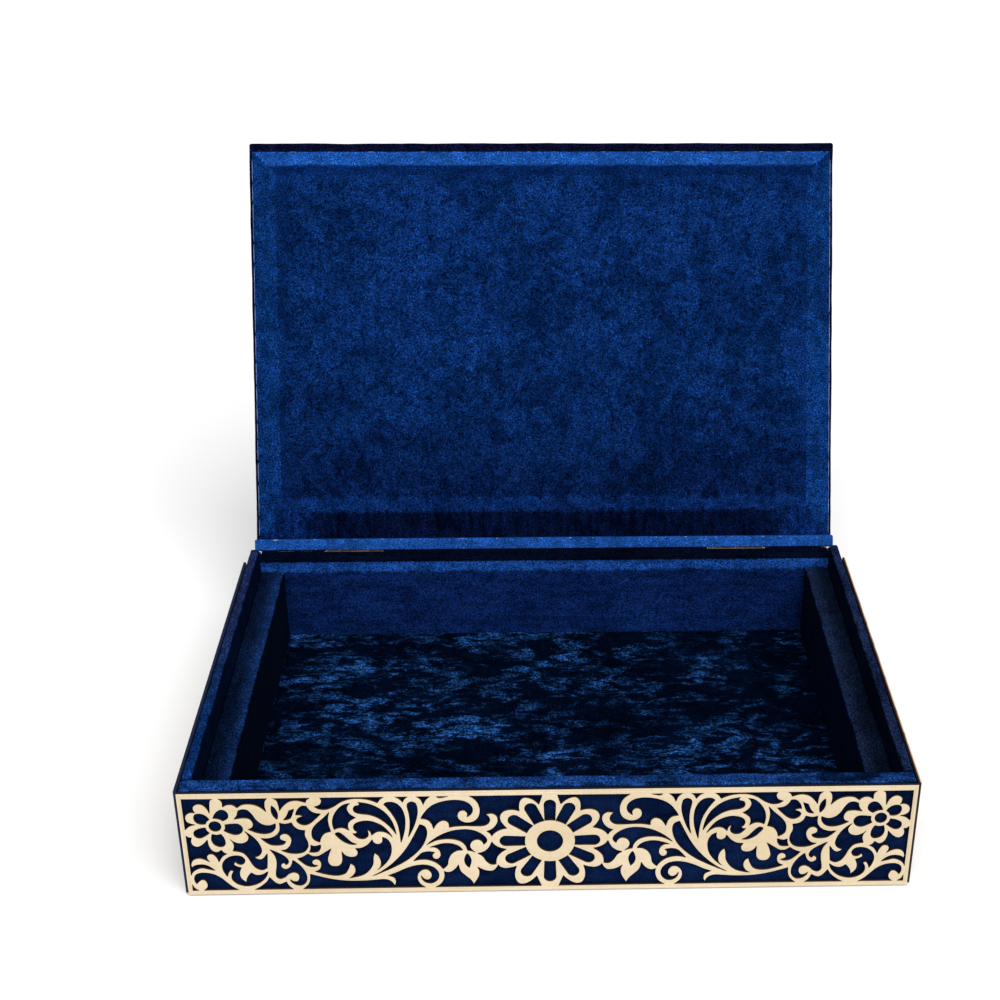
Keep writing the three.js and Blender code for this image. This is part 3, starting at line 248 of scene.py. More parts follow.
# Openings of the left half of the front plate: x, z, corner (1) or smooth point (0), in millimetres from the middle line and the underside.
OPENINGS = [
  [-3.34,51.2,1, -4.05,48.6,0, -4.76,46.4,1, -5.77,47.6,0, -7.49,49,0, -9.72,49.9,0, -11.64,49.7,0, -12.95,48,0, -13.36,45.3,0, -13.16,43,1, -15.59,43.7,0, -18.32,43.6,0, -20.55,42.4,0, -21.56,40.3,0, -21.25,37.9,0, -20.14,35.9,0, -18.62,34,1, -21.15,33.4,0, -23.58,32,0, -25.2,30,1, -25.71,31.2,0, -27.33,32.6,1, -25,33.7,0, -23.18,35.8,0, -22.37,38.4,0, -22.97,40.7,0, -24.9,41.9,0, -27.53,41.5,1, -26.31,40.1,0, -25.91,38.4,0, -26.62,36.7,0, -28.34,35.6,0, -31.48,35.4,0, -36.54,35.6,0, -40.59,35.4,0, -43.42,34.9,1, -43.52,37,0, -44.84,38.4,0, -46.66,38.4,0, -48.58,37,0, -50.2,34.3,1, -50.91,37,0, -52.63,39,0, -55.46,39.7,1, -54.05,42.3,0, -51.62,45.4,0, -48.68,47.4,0, -44.63,48.7,0, -40.38,49.1,0, -36.84,48.5,0, -34.41,46.9,0, -33.2,44.6,0, -33.6,42.2,0, -35.63,40.2,1, -35.42,42.2,0, -36.84,43.7,0, -38.86,43.2,0, -39.78,41,0, -38.97,38.8,0, -36.74,37.4,0, -34.01,37.4,0, -31.48,38.9,0, -30.16,41.6,0, -30.06,45,0, -31.48,48.6,0, -34.51,51.2,1],
  [-3.85,2.8,1, -4.76,5.3,0, -5.87,8.2,1, -6.98,6.9,0, -9.21,5,0, -11.64,4,0, -13.87,4.5,0, -15.28,7,0, -15.49,10.3,0, -14.68,13.8,1, -17,13,0, -19.84,12.7,0, -21.96,13.6,0, -22.67,14.6,1, -23.38,13,0, -24.9,11.5,0, -27.43,11.4,0, -29.76,12.3,0, -31.68,13.6,1, -30.87,11.3,0, -31.27,8.3,0, -33.5,4.3,1, -34.92,6.7,0, -37.14,9,0, -39.17,11.4,0, -39.98,14.9,1, -41.19,12.9,0, -43.22,11.2,0, -45.04,10.9,0, -46.35,11.4,1, -46.15,9,0, -46.86,6.3,0, -48.38,4.2,0, -50.5,2.8,1],
  [-25.2,27,1, -23.99,25.2,0, -21.86,23.8,0, -18.93,22.9,1, -21.36,21.1,0, -23.18,18.6,0, -23.58,15,1, -25.81,14.9,0, -27.73,16.6,0, -29.25,19.2,0, -31.48,20.9,1, -28.74,21.8,0, -26.62,23.8,0],
  [-53.34,25.8,1, -51.31,27.9,0, -48.18,30.3,0, -44.63,32.2,0, -41.09,33.3,0, -37.04,33.7,0, -33.3,33.2,0, -30.26,31.7,0, -28.04,29.6,0, -27.33,27.6,0, -28.74,25.6,1, -29.45,27.3,0, -31.17,28.3,0, -33.5,27.6,0, -34.72,25.6,0, -34.31,23.4,0, -32.39,21.5,1, -34.11,22.2,0, -35.83,22.6,1, -36.54,25,0, -38.36,27.2,0, -41.39,28.5,0, -45.14,28.8,0, -49.19,28.1,0],
  [-52.12,24.5,1, -49.19,25.6,0, -45.44,26.5,0, -42.1,26.1,0, -39.47,24.8,0, -37.85,22.7,1, -40.59,22.4,0, -42.91,20.7,0, -44.23,18,0, -44.84,14.9,0, -46.76,12.8,1, -48.18,14.8,0, -50.5,16.7,0, -53.74,17.9,0, -56.78,17.9,0, -59.41,17.2,1, -57.59,19.5,0, -55.56,21.5,0, -53.03,22.2,0, -50.1,21.7,1, -51.21,20.3,0, -50.71,18.6,0, -49.09,18.1,0, -47.77,19.3,0, -47.47,21.2,0, -48.28,23.2,0, -49.9,24.4,0],
  [-36.03,20.9,1, -34.82,19,0, -34.41,16.8,0, -35.32,13.3,1, -36.74,15,0, -37.25,17.3,0, -36.84,19.3,0],
  [-108.4,2.8,1, -106.17,4.9,0, -104.95,7.5,0, -104.75,10.9,1, -101.82,9.9,0, -97.26,8.5,0, -92.2,7.4,0, -87.14,6.9,0, -81.07,6.9,0, -76.01,7.3,0, -72.47,7.5,0, -69.94,6.6,0, -68.22,4,1, -67.51,6,0, -68.11,8.2,0, -70.85,9.6,1, -67.41,11,0, -63.36,13.1,0, -59.31,14.6,0, -55.26,15.1,0, -51.72,14.2,0, -49.49,12.1,0, -48.68,9.6,0, -49.39,7,0, -51.31,5.3,0, -53.74,5.2,0, -55.77,6.8,0, -56.48,9.3,1, -55.16,7.5,0, -53.44,7,0, -51.92,8.4,0, -51.92,10.6,0, -53.54,12.5,0, -55.77,12.4,0, -57.69,10.5,0, -58.2,7.8,0, -57.18,5,0, -54.75,2.8,1],
  [-77.73,9.4,1, -72.97,11.6,0, -67.91,14.2,0, -63.36,17,0, -59.11,20.6,0, -55.77,24.6,0, -53.84,28.7,0, -53.14,32.5,0, -53.84,35.4,0, -56.07,36.6,1, -57.99,32.4,0, -60.83,26.6,0, -64.37,21,0, -68.92,15.8,0, -73.48,12,0],
  [-70.95,47.4,1, -69.73,48.3,0, -67.71,48.5,0, -65.48,47.6,0, -63.76,45.6,0, -62.65,42.7,0, -62.24,39,0, -62.55,34.5,0, -63.46,30.5,0, -64.47,27.3,1, -64.57,30.5,0, -64.98,34.5,0, -65.89,38.5,0, -67.61,42.3,0, -69.23,45,0],
  [-61.03,46.6,0, -60.42,48,0, -58.8,48.5,0, -57.39,47.6,0, -56.78,45,0, -56.98,41.5,0, -57.99,37.5,0, -59.51,33.5,0, -61.23,30,1, -60.42,34,0, -60.12,38,0, -60.32,42,0],
  [-81.98,48.6,1, -78.54,48,0, -75,46.6,0, -71.76,44.2,0, -69.13,41,0, -67.41,37,0, -66.29,31.6,1, -68.32,34.9,0, -70.95,38,0, -74.29,40.7,0, -77.83,42.1,0, -81.07,42.6,0, -83.3,43.4,0, -84,44.9,0, -83.4,46.5,0, -81.58,47.1,0, -81.17,47.8,1],
  [-84.51,35.7,0, -83.7,37.4,0, -81.58,38.5,0, -78.54,38.9,0, -75.3,38.1,0, -72.16,36.2,0, -69.83,33.4,0, -68.01,30.1,1, -69.63,31.9,0, -71.96,33.1,0, -74.69,33,0, -76.92,31.2,1, -77.43,33.2,0, -78.94,34.2,1, -78.34,32.6,0, -78.64,30.7,0, -80.26,29.5,0, -82.59,29.8,0, -85.02,32.3,1, -83.8,32.3,0, -82.89,33.1,1, -84,34,0],
  [-76.82,29,1, -76.21,27.4,0, -74.59,26.5,0, -72.77,27.2,0, -72.26,28.8,0, -72.37,30.2,1, -70.34,29,0, -69.03,26.5,0, -68.82,23.2,0, -69.73,19.4,0, -71.96,15.9,0, -75.4,12.6,1, -73.88,14.6,0, -73.58,17.5,0, -74.59,20.3,0, -76.21,21.8,1, -76.82,19.5,0, -77.22,15.8,0, -79.25,12.2,0, -82.28,9.9,0, -87.85,8.5,1, -85.72,10.3,0, -84.81,12.9,0, -85.52,15.3,0, -87.04,16.3,1, -87.95,13.6,0, -89.57,11,0, -92.71,10,0, -96.76,10.4,0, -102.53,12.3,1, -100.3,13.5,0, -99.49,16,0, -100.1,18.2,0, -101.72,18.9,0, -103.34,17.9,0, -103.23,16.3,0, -101.01,15.5,1, -102.83,14.8,0, -105.36,15.3,0, -107.59,17.1,0, -109.71,19.4,1, -107.38,20.2,0, -104.95,21.9,1, -102.93,20.6,0, -100.5,20.6,0, -98.07,22.1,0, -94.73,24.5,1, -96.05,21.2,0, -96.66,17.8,0, -95.54,15.5,0, -93.42,14.9,0, -91.39,15.6,0, -90.28,17.8,0, -90.28,22.8,1, -88.76,20.7,0, -86.43,19.8,0, -84.21,20.3,0, -83.3,22.2,0, -84.31,24.4,1, -81.47,24.7,0, -78.94,26.3,0],
  [-85.22,48.1,1, -87.95,47.4,0, -90.68,45,0, -92.61,41.6,0, -93.32,38,0, -92.81,34.5,1, -90.99,35.3,0, -88.76,35.3,0, -86.43,34,1, -86.94,36,0, -86.33,38.4,0, -83.3,40.7,1, -85.62,42.4,0, -86.84,44.9,0, -86.43,46.9,0],
  [-92.51,32.3,0, -91.19,33,0, -89.87,32.3,0, -87.95,30.2,0, -85.93,27.9,0, -83.5,26.6,1, -86.13,26.6,0, -88.86,27.9,0, -91.19,30.2,0],
  [-94.43,43.6,1, -96.76,40.9,0, -99.79,38,0, -101.82,35.3,0, -102.53,32.3,0, -101.92,29.6,0, -99.39,27.9,1, -98.78,30.2,0, -97.16,32.5,0, -94.33,33.5,1, -95.04,36.8,0, -95.24,40.2,0],
  [-103.44,26.5,1, -101.82,25.9,0, -99.19,26.6,1, -99.39,24.7,0, -100.7,22.9,0, -104.25,22.7,1, -103.54,24.6,0],
  [-97.87,51.2,1, -97.26,49.4,0, -98.17,47.5,0, -100.5,46.6,1, -98.48,45.3,0, -95.54,45.1,0, -92.4,46.5,0, -89.17,48.8,0, -85.62,50.2,0, -81.58,50.5,0, -77.53,49.9,0, -73.58,48.2,1, -72.57,49.8,0, -70.85,51.2,1],
  [-66.09,51.2,1, -64.17,50,0, -62.85,48.3,1, -62.04,50,0, -60.62,51.2,1],
  [-56.98,51.2,1, -55.06,49.5,0, -54.15,46.9,1, -53.14,49.2,0, -51.21,51.2,1],
  [-48.38,51.2,1, -47.47,50.4,0, -45.44,50.6,0, -43.42,51.2,1],
  [-108.7,42.4,1, -107.79,45,0, -105.97,46.9,0, -103.94,47,1, -102.73,44.9,0, -100.81,43.4,0, -98.07,42.9,1, -100.6,40.1,0, -103.03,37.9,0, -105.36,37.1,0, -107.59,38,0, -108.5,39.7,0, -107.69,40.8,0, -105.66,41.6,1, -106.78,42.3,0],
  [-114.16,39.9,1, -112.65,41.8,0, -111.43,44.7,1, -109.31,45.6,1, -110.12,43,0, -111.13,40.8,0, -112.44,40.1,0],
  [-117.71,51.2,1, -116.19,49.9,0, -115.58,47.6,0, -115.38,44.8,1, -113.66,47.2,0, -111.13,49.3,0, -107.89,49.9,0, -104.15,48.8,1, -103.54,50.2,0, -102.22,51.2,1],
  [-118.62,47.4,1, -117.1,45.5,0, -116.39,43,0, -116.8,40.2,1, -118.21,42,0, -118.92,44.5,0],
  [-115.99,38.4,1, -113.66,37.8,0, -110.82,38.5,1, -109.91,36.4,0, -107.99,34.8,0, -105.36,34.3,1, -105.66,31.5,0, -104.65,28.2,0, -104.75,25.3,0, -106.57,22.9,0, -109.61,22.1,0, -112.95,22.4,0, -116.39,23.9,1, -113.96,24.5,0, -112.04,26.8,0, -111.43,29.7,0, -112.44,31.9,0, -114.37,32.7,0, -116.19,31.7,0, -116.29,29.9,0, -113.96,28.6,1, -115.08,27.1,0, -118.01,26.6,0, -121.05,27.2,0, -124.59,30.5,1, -121.35,30.3,0, -118.21,31.6,0, -116.19,34.2,0],
  [-121.35,24.5,1, -118.31,22.9,0, -115.68,21.2,0, -113.86,19,0, -113.76,17.2,0, -114.87,16.1,1, -115.68,17.1,0, -117,16.2,0, -116.8,14.7,0, -115.18,13.8,0, -113.36,14.6,0, -112.34,16.4,0, -111.74,18.6,1, -109.41,16.4,0, -107.38,13.4,0, -106.37,10.3,0, -106.68,7,0, -108.6,5,0, -111.23,5.2,0, -113.05,6.7,0, -113.66,8.2,1, -112.14,7.1,0, -110.42,7.2,0, -109.51,8.9,0, -109.81,11,0, -111.74,12,0, -113.96,11.2,0, -115.58,9.6,1, -117.91,8.6,0, -119.33,9.7,0, -119.43,12,0, -118.92,15,0, -118.72,18.5,0, -119.53,21.7,0],
  [-112.55,2.8,1, -114.27,4.5,0, -115.48,7,1, -117,6.1,0, -118.52,5.7,0, -120.34,6.7,0, -122.46,9.5,1, -123.78,7.2,0, -126.21,4.9,0, -129.45,2.8,1],
  [-131.27,34.2,1, -128.84,32.2,0, -126.71,29.7,0, -125.2,26.6,0, -124.79,23.5,0, -126.01,21.4,0, -128.03,20.5,1, -126.61,19.3,0, -124.79,19.4,0, -122.46,22.3,1, -122.77,18.5,0, -123.17,14.6,1, -125.4,13.5,0, -127.73,14.5,0, -129.45,17,0, -130.86,20.2,0, -132.89,22.8,0, -137.04,23.9,1, -136.33,26.2,0, -136.63,28.4,0, -137.75,30.1,1, -135.93,28.5,0, -133.19,27.8,0, -130.66,28.8,0, -129.65,30.9,0, -130.26,32.8,0],
  [-133.09,44.9,1, -131.17,45.6,0, -129.14,45.2,0, -127.42,43.1,0, -125.8,40.1,0, -123.58,37.9,0, -120.54,37.1,0, -117.71,38.1,1, -118.01,35.6,0, -119.83,33.5,0, -122.57,32.8,0, -125.91,33.4,0, -129.65,35.2,1, -127.63,36.3,0, -127.22,38.4,0, -128.44,40.6,0, -131.17,41.2,0, -135.12,40.6,1, -133.7,42.6,0],
  [-140.95,51.2,1, -139.8,50.3,0, -139.3,49,0, -139.37,47,1, -137.44,48.1,0, -135.12,48,0, -133.29,46.5,1, -130.97,48.1,0, -127.63,48.3,0, -124.29,47.2,0, -121.15,44.3,1, -121.65,47,0, -121.35,49.7,0, -120.24,51.2,1],
  [-144.02,41.2,1, -142.91,43.5,0, -140.99,45.3,0, -139.06,45.3,0, -137.65,43.7,0, -137.75,41.4,0, -139.87,39.8,1, -141.8,40.9,0],
  [-139.26,37.8,1, -136.23,38.2,0, -133.5,38,0, -131.98,36.3,0, -132.18,34.2,0, -133.7,32.8,0, -135.93,32.6,0, -139.87,34.6,1, -139.16,36.2,0],
  [-145.14,32.9,1, -143.31,32.5,0, -141.39,32.9,1, -140.18,30.5,0, -139.97,28,0, -140.88,26.5,0, -142.71,26.3,0, -144.73,27.5,0, -145.64,29.9,0],
  [-147.77,36.4,1, -150.5,35.8,0, -152.52,34.5,0, -152.83,32.6,0, -151.71,31.2,0, -149.79,31.1,0, -146.15,33.6,1, -147.26,34.8,0],
  [-145.64,40.6,1, -147.16,42.6,0, -149.39,43.6,0, -151.41,43.2,0, -152.12,41.4,0, -151.51,39.4,0, -149.89,38.3,0, -147.46,38.3,1, -146.86,39.6,0],
  [-156.47,51.2,1, -143.3,51.2,1, -144.4,50.5,0, -144.85,48.8,0, -145.24,43.8,1, -146.15,46.3,0, -147.87,48.2,0, -150.09,48.6,0, -151.92,47.3,0, -152.02,45.5,0, -151.31,44.1,1, -153.33,44.3,0, -155.15,43.3,0, -155.86,41.5,0, -155.36,39.6,0, -153.74,38.5,0, -151.81,38,1, -154.45,37.2,0, -156.47,35.4,1],
  [-156.47,32.3,1, -155.46,31.4,0, -154.14,31.2,1, -154.65,29,0, -153.84,27,0, -151.92,26.3,0, -149.69,27.5,0, -147.46,30,1, -147.26,27,0, -146.05,24.3,0, -144.12,23.3,0, -142,24.5,1, -141.09,23.1,0, -139.77,22.4,1, -142,20.9,0, -143.62,18.1,1, -144.33,20.4,0, -145.94,22.3,0, -147.97,22.1,0, -148.68,20.5,0, -147.67,18.2,1, -149.69,19.5,0, -152.12,20.2,0, -154.55,19.4,0, -155.76,17.4,0, -155.66,15.3,1, -153.74,16.5,0, -150.7,16.8,0, -148.17,15.8,0, -145.74,13.6,1, -148.48,14.3,0, -151.21,15,0, -153.94,14.1,0, -155.66,12.6,0, -156.47,11,1],
  [-154.45,6.5,1, -155.15,8.6,0, -154.65,10.9,0, -152.62,12.2,0, -149.59,12.3,0, -146.65,11.5,0, -143.82,9.7,0, -141.29,7,0, -138.96,4.6,0, -136.33,2.8,1, -151.61,2.8,1, -149.99,4.4,0, -149.69,6.4,0, -150.8,8.4,0, -152.32,8.5,0],
  [-156.47,6.2,1, -155.66,4.3,0, -153.84,2.8,1, -156.47,2.8,1],
  [-140.68,10.2,1, -142,12.9,0, -142.4,16,0, -141.19,18.9,0, -138.76,20.8,0, -135.93,21.4,0, -133.6,20.8,0, -132.38,19,0, -133.19,17,0, -135.01,16.7,0, -136.73,18.1,1, -137.24,16.4,0, -134.31,14.9,1, -135.32,12,0, -134.91,9.3,0, -132.69,6.9,1, -132.18,9.3,0, -130.26,12.1,1, -128.03,10.8,0, -125.6,11,0, -122.97,12.7,1, -124.18,9.5,0, -126.92,6.7,0, -130.36,5.2,0, -133.7,5,0, -136.73,6.2,0, -138.66,8.4,0, -138.76,10.8,0, -137.75,12.9,1, -139.06,13.5,0, -140.18,12,0],
]

# ------------------------------------------------------------------ ornament
PETAL_ANGLES = [90, 115.5, 144, 179, 208.5, 238, 270]
DAISY_Z, HUB_R, HUB_RING_R, SLOT_R, SLOT_W0, SLOT_W1 = 27.0, 5.5, 10.9, 19.1, 2.35, 2.6


def smooth_outline(row, n=6):
    """a closed curve through an opening's points; corner points stay sharp"""
    P = [np.array((row[i], row[i + 1]), float) for i in range(0, len(row), 3)]
    K = [row[i + 2] == 1 for i in range(0, len(row), 3)]
    N, out = len(P), []
    for i in range(N):
        j = (i + 1) % N
        p1, p2 = P[i], P[j]
        d = np.linalg.norm(p2 - p1)
        m1 = (p2 - P[i - 1]) / 2 if not K[i] else None
        m2 = (P[(j + 1) % N] - p1) / 2 if not K[j] else None
        if m1 is not None:
            a = np.linalg.norm(p1 - P[i - 1])
            m1 = m1 * 2 * d / (a + d)
        if m2 is not None:
            b = np.linalg.norm(P[(j + 1) % N] - p2)
            m2 = m2 * 2 * d / (b + d)
        if m1 is None and m2 is None:
            m1 = m2 = p2 - p1
        elif m1 is None:
            m1 = 1.5 * (p2 - p1) - 0.5 * m2
        elif m2 is None:
            m2 = 1.5 * (p2 - p1) - 0.5 * m1
        k = 1 if K[i] and K[j] else max(1, min(n, int(math.ceil(d / 0.45))))
        for s in range(k):
            t = s / k
            t2, t3 = t * t, t * t * t
            out.append((2 * t3 - 3 * t2 + 1) * p1 + (t3 - 2 * t2 + t) * m1 + (-2 * t3 + 3 * t2) * p2 + (t3 - t2) * m2)
    return [(float(p[0]), float(p[1])) for p in out]


def circle(cx, cy, r, n):
    return [(cx + r * math.cos(2 * math.pi * i / n), cy + r * math.sin(2 * math.pi * i / n)) for i in range(n)]


def petal_slot(cx, cy, deg, s=1.0, steps=14):
    a = math.radians(deg)
    ux, uy = math.cos(a), math.sin(a)

    def at(r, w):
        return (cx + s * (ux * r - uy * w), cy + s * (uy * r + ux * w))
    p = []
    for i in range(5):                      # inner end follows the hub ring
        w = SLOT_W0 - 2 * SLOT_W0 * i / 4
        p.append(at(math.sqrt((HUB_RING_R + 0.1) ** 2 - w * w), w))
    for i in range(steps + 1):
        b = -math.pi / 2 + math.pi * i / steps
        p.append(at(SLOT_R + SLOT_W1 * math.cos(b), SLOT_W1 * math.sin(b)))
    return p


def flip(pts):
    return [(-x, y) for x, y in reversed(pts)]


def area(pts):
    return 0.5 * sum(pts[i - 1][0] * pts[i][1] - pts[i][0] * pts[i - 1][1] for i in range(len(pts)))


def fret_holes():
    half = [smooth_outline(r) for r in OPENINGS]
    half.append(circle(-143.52, 37, 2.55, 24))
    out = half + [flip(h) for h in half]
    out.append(circle(0, DAISY_Z, HUB_R, 48))
    for d in PETAL_ANGLES:
        h = petal_slot(0, DAISY_Z, d)
        out.append(h)
        if d not in (90, 270):
            out.append(flip(h))
    out = [[(x, 3.6 + (z - 3.6) * 1.025) for x, z in h] for h in out]
    # the straight ends along the borders lie a few hundredths apart, so that no two are exactly in line
    order = sorted(range(len(out)), key=lambda i: min(p[0] for p in out[i]))
    up = [i for i in order if max(p[1] for p in out[i]) > 52.3]
    low = [i for i in order if min(p[1] for p in out[i]) < 3.7]
    for n, i in enumerate(up):
        out[i] = [(x, z - 0.006 * n if z > 52.3 else z) for x, z in out[i]]
    for n, i in enumerate(low):
        out[i] = [(x, z + 0.006 * n if z < 3.7 else z) for x, z in out[i]]
    return out


def clip_side(pts, c, keep_below):
    """the part of a closed outline on one side of the line x = c, as one or more closed outlines"""
    s = 1.0 if keep_below else -1.0
    ins = [s * (p[0] - c) < 0 for p in pts]
    n = len(pts)
    if all(ins):
        return [pts]
    if not any(ins):
        return []
    start = next(i for i in range(n) if not ins[i] and ins[(i + 1) % n])
    chains, cur = [], None
    for k in range(n):
        i, j = (start + k) % n, (start + k + 1) % n
        p, q = pts[i], pts[j]
        if ins[i] != ins[j]:
            t = (c - p[0]) / (q[0] - p[0])
            x = (c, p[1] + t * (q[1] - p[1]))
            if ins[j]:
                cur = [x]
            else:
                cur.append(x)
                chains.append(cur)
                cur = None
        if ins[j] and cur is not None:
            cur.append(q)
    ends = []
    for i, ch in enumerate(chains):
        ends.append((ch[0][1], i, 0))
        ends.append((ch[-1][1], i, 1))
    ends.sort()
    pair = {}
    for a in range(0, len(ends) - 1, 2):
        e, f = ends[a], ends[a + 1]
        pair[(e[1], e[2])] = (f[1], f[2])
        pair[(f[1], f[2])] = (e[1], e[2])
    out, used = [], set()
    for i in range(len(chains)):
        if i in used:
            continue
        loop, j = [], i
        while j not in used:
            used.add(j)
            loop += chains[j]
            nxt = pair.get((j, 1))
            if nxt is None:
                break
            j = nxt[0]
        out.append(loop)
    return out


def grown(pts, e):
    """a closed outline moved outwards by e"""
    s = 1.0 if area(pts) > 0 else -1.0
    n, out = len(pts), []
    for i in range(n):
        a, p, q = pts[i - 1], pts[i], pts[(i + 1) % n]
        t = Vector((p[0] - a[0], p[1] - a[1])).normalized() + Vector((q[0] - p[0], q[1] - p[1])).normalized()
        if t.length < 1e-6:
            out.append(p)
            continue
        t.normalize()
        out.append((p[0] + s * t.y * e, p[1] - s * t.x * e))
    return out


def crossing(a, b, c, d):
    r, s = (b[0] - a[0], b[1] - a[1]), (d[0] - c[0], d[1] - c[1])
    k = r[0] * s[1] - r[1] * s[0]
    if abs(k) < 1e-12:
        return None
    t = ((c[0] - a[0]) * s[1] - (c[1] - a[1]) * s[0]) / k
    u = ((c[0] - a[0]) * r[1] - (c[1] - a[1]) * r[0]) / k
    return (a[0] + t * r[0], a[1] + t * r[1]) if 0 <= t <= 1 and 0 <= u <= 1 else None


def unloop(pts, reach=16):
    """a closed outline without the small crossed loops that growing leaves at sharp tips"""
    for _ in range(2):
        i = 0
        while i < len(pts) - 3:
            for j in range(min(i + reach, len(pts) - 2), i + 1, -1):
                x = crossing(pts[i], pts[i + 1], pts[j], pts[j + 1])
                if x is not None:
                    pts = pts[:i + 1] + [x] + pts[j + 1:]
                    break
            i += 1
        h = len(pts) // 2
        pts = pts[h:] + pts[:h]
    return pts


def groove_mesh(x0, x1, y0, y1, inset, w_top, w_bot, top, depth):
    """a closed ring of V section, to cut one engraved line around a plate"""
    v, f = [], []
    sec = [(inset - w_top / 2, top + 0.05), (inset + w_top / 2, top + 0.05), (inset + w_bot / 2, top - depth), (inset - w_bot / 2, top - depth)]
    for s, z in sec:
        v += [(x0 + s, y0 + s, z), (x1 - s, y0 + s, z), (x1 - s, y1 - s, z), (x0 + s, y1 - s, z)]
    for k in range(4):
        kk = (k + 1) % 4
        for i in range(4):
            j = (i + 1) % 4
            f.append((4 * k + i, 4 * k + j, 4 * kk + j, 4 * kk + i))
    m = bpy.data.meshes.new("groove_tmp")
    m.from_pydata(v, [], f)
    bm = bmesh.new()
    bm.from_mesh(m)
    bmesh.ops.recalc_face_normals(bm, faces=bm.faces)
    bm.to_mesh(m)
    bm.free()
    return m


def fret_plate(name, x0, x1, window, holes, matrix, bevel=0.09):
    loops = [[(x0, PLATE_Z0), (x1, PLATE_Z0), (x1, PLATE_Z1), (x0, PLATE_Z1)]]
    for h in holes:
        parts = [h]
        if window:
            parts = [q for p in parts for q in clip_side(p, window, True)]
            parts = [q for p in parts for q in clip_side(p, -window, False)]
        loops += [unloop(grown(p, 0.18)) for p in parts if len(p) > 3 and abs(area(p)) > 0.6]
    m = flat_curve(loops, PLATE_T, bevel)
    o = link(name, m)
    cut(o, groove_mesh(x0, x1, PLATE_Z0, PLATE_Z1, 1.3, 0.66, 0.2, PLATE_T, 0.1))
    place(o.data, matrix)
    clean(o.data, 2e-7)
    shade(o.data, 25)
    return o


HOLES = fret_holes()
front_plate = fret_plate("front_fretwork", -158.5, 158.5, None, HOLES,
                         Matrix(((1, 0, 0, 0), (0, 0, -1, -HALF_D - GAP), (0, 1, 0, 0), (0, 0, 0, 1))))
right_plate = fret_plate("right_fretwork", -99.5, 99.5, 96.9, HOLES,
                         Matrix(((0, 0, 1, HALF_W + GAP), (1, 0, 0, -HALF_D + 99.5), (0, 1, 0, 0), (0, 0, 0, 1))))
left_plate = fret_plate("left_fretwork", -99.5, 99.5, 96.9, HOLES,
                        Matrix(((0, 0, -1, -HALF_W - GAP), (-1, 0, 0, -HALF_D + 99.5), (0, 1, 0, 0), (0, 0, 0, 1))))

# the rosette on the lid's outer face
_s, _out = 42 / 25.0, []
for _k in range(12):
    _a = math.radians(30 * _k)
    for _i in range(-12, 13):
        _q = math.radians(_i)
        _rr = 20.1 * math.cos(_q) + math.sqrt(max(0.0, 4.95 ** 2 - (20.1 * math.sin(_q)) ** 2))
        _out.append((_s * _rr * math.cos(_a + _q), _s * _rr * math.sin(_a + _q)))
    _n = _a + math.radians(15)
    _out.append((_s * 19.6 * math.cos(_n), _s * 19.6 * math.sin(_n)))
_loops = [_out, circle(0, 0, HUB_R * _s, 72)] + [petal_slot(0, 0, 30 * _k, _s, 20) for _k in range(12)]
medallion = link("lid_rosette", place(flat_curve(_loops, PLATE_T, 0.15, 2), Matrix.Translation((0, 0, LID_Z1 + GAP))))
clean(medallion.data)
shade(medallion.data, 25)

# ------------------------------------------------------------------ box body
def cavity(x0, x1, y0, y1, z0, z1):
    return box_mesh(x0, x1, y0, y1, z0, z1)


walls = {}
o = soft_box("front_wall_velvet", (-HALF_W, -HALF_D, WALL_Z0), (HALF_W, -IN_Y, RIM_Z), 1.5, 3.0, 4, 0.22, 0.09, 1.0)
cut(o, cavity(-HALF_W + SKIN, HALF_W - SKIN, -HALF_D + SKIN, -IN_Y - SKIN, -5, RIM_Z - SKIN))
walls["front"] = o
for s in (-1, 1):
    side = "left" if s < 0 else "right"
    a, b = (IN_X, HALF_W) if s > 0 else (-HALF_W, -IN_X)
    o = soft_box(side + "_wall_velvet", (a, -IN_Y + GAP, WALL_Z0), (b, HALF_D, RIM_Z), 1.4, 3.0, 4, 0.2, 0.09, 4.0 + s)
    cut(o, box_mesh(a - 2, b + 2, NOTCH_Y, HALF_D + 2, BACK_Z + 0.4, RIM_Z + 2))
    c0, c1 = a + SKIN, b - SKIN
    y0 = -IN_Y + GAP
    ring = [(y0 + SKIN, -5), (HALF_D - SKIN, -5), (HALF_D - SKIN, BACK_Z - SKIN), (NOTCH_Y - SKIN, BACK_Z - SKIN), (NOTCH_Y - SKIN, RIM_Z - SKIN), (y0 + SKIN, RIM_Z - SKIN)]
    v = [(c0, y, z) for y, z in ring] + [(c1, y, z) for y, z in ring]
    f = [tuple(range(5, -1, -1)), tuple(range(6, 12))] + [(i, (i + 1) % 6, 6 + (i + 1) % 6, 6 + i) for i in range(6)]
    m = mesh_from("ring_tmp", v, f)
    bm = bmesh.new(); bm.from_mesh(m); bmesh.ops.recalc_face_normals(bm, faces=bm.faces); bm.to_mesh(m); bm.free()
    cut(o, m)
    walls[side] = o
xb = IN_X - 0.02
prof = [(HALF_D, WALL_Z0 + t) for t in np.arange(0, BACK_Z - WALL_Z0 - 1.4, 3.0)]
prof += [(HALF_D, BACK_Z - 0.7), (HALF_D + 0.36, BACK_Z - 0.15), (HALF_D + 0.42, BACK_Z + 0.3), (HALF_D + 0.3, BACK_Z + 0.5)]
prof += [(HALF_D - 0.5, BACK_Z + 0.5), (HALF_D - 1.6, BACK_Z + 0.25), (HALF_D - 3.0, BACK_Z)]
prof += [(IN_Y + 2.5 - 2.5 * math.sin(t), BACK_Z - 2.5 + 2.5 * math.cos(t)) for t in np.linspace(0, math.pi / 2, 8)]
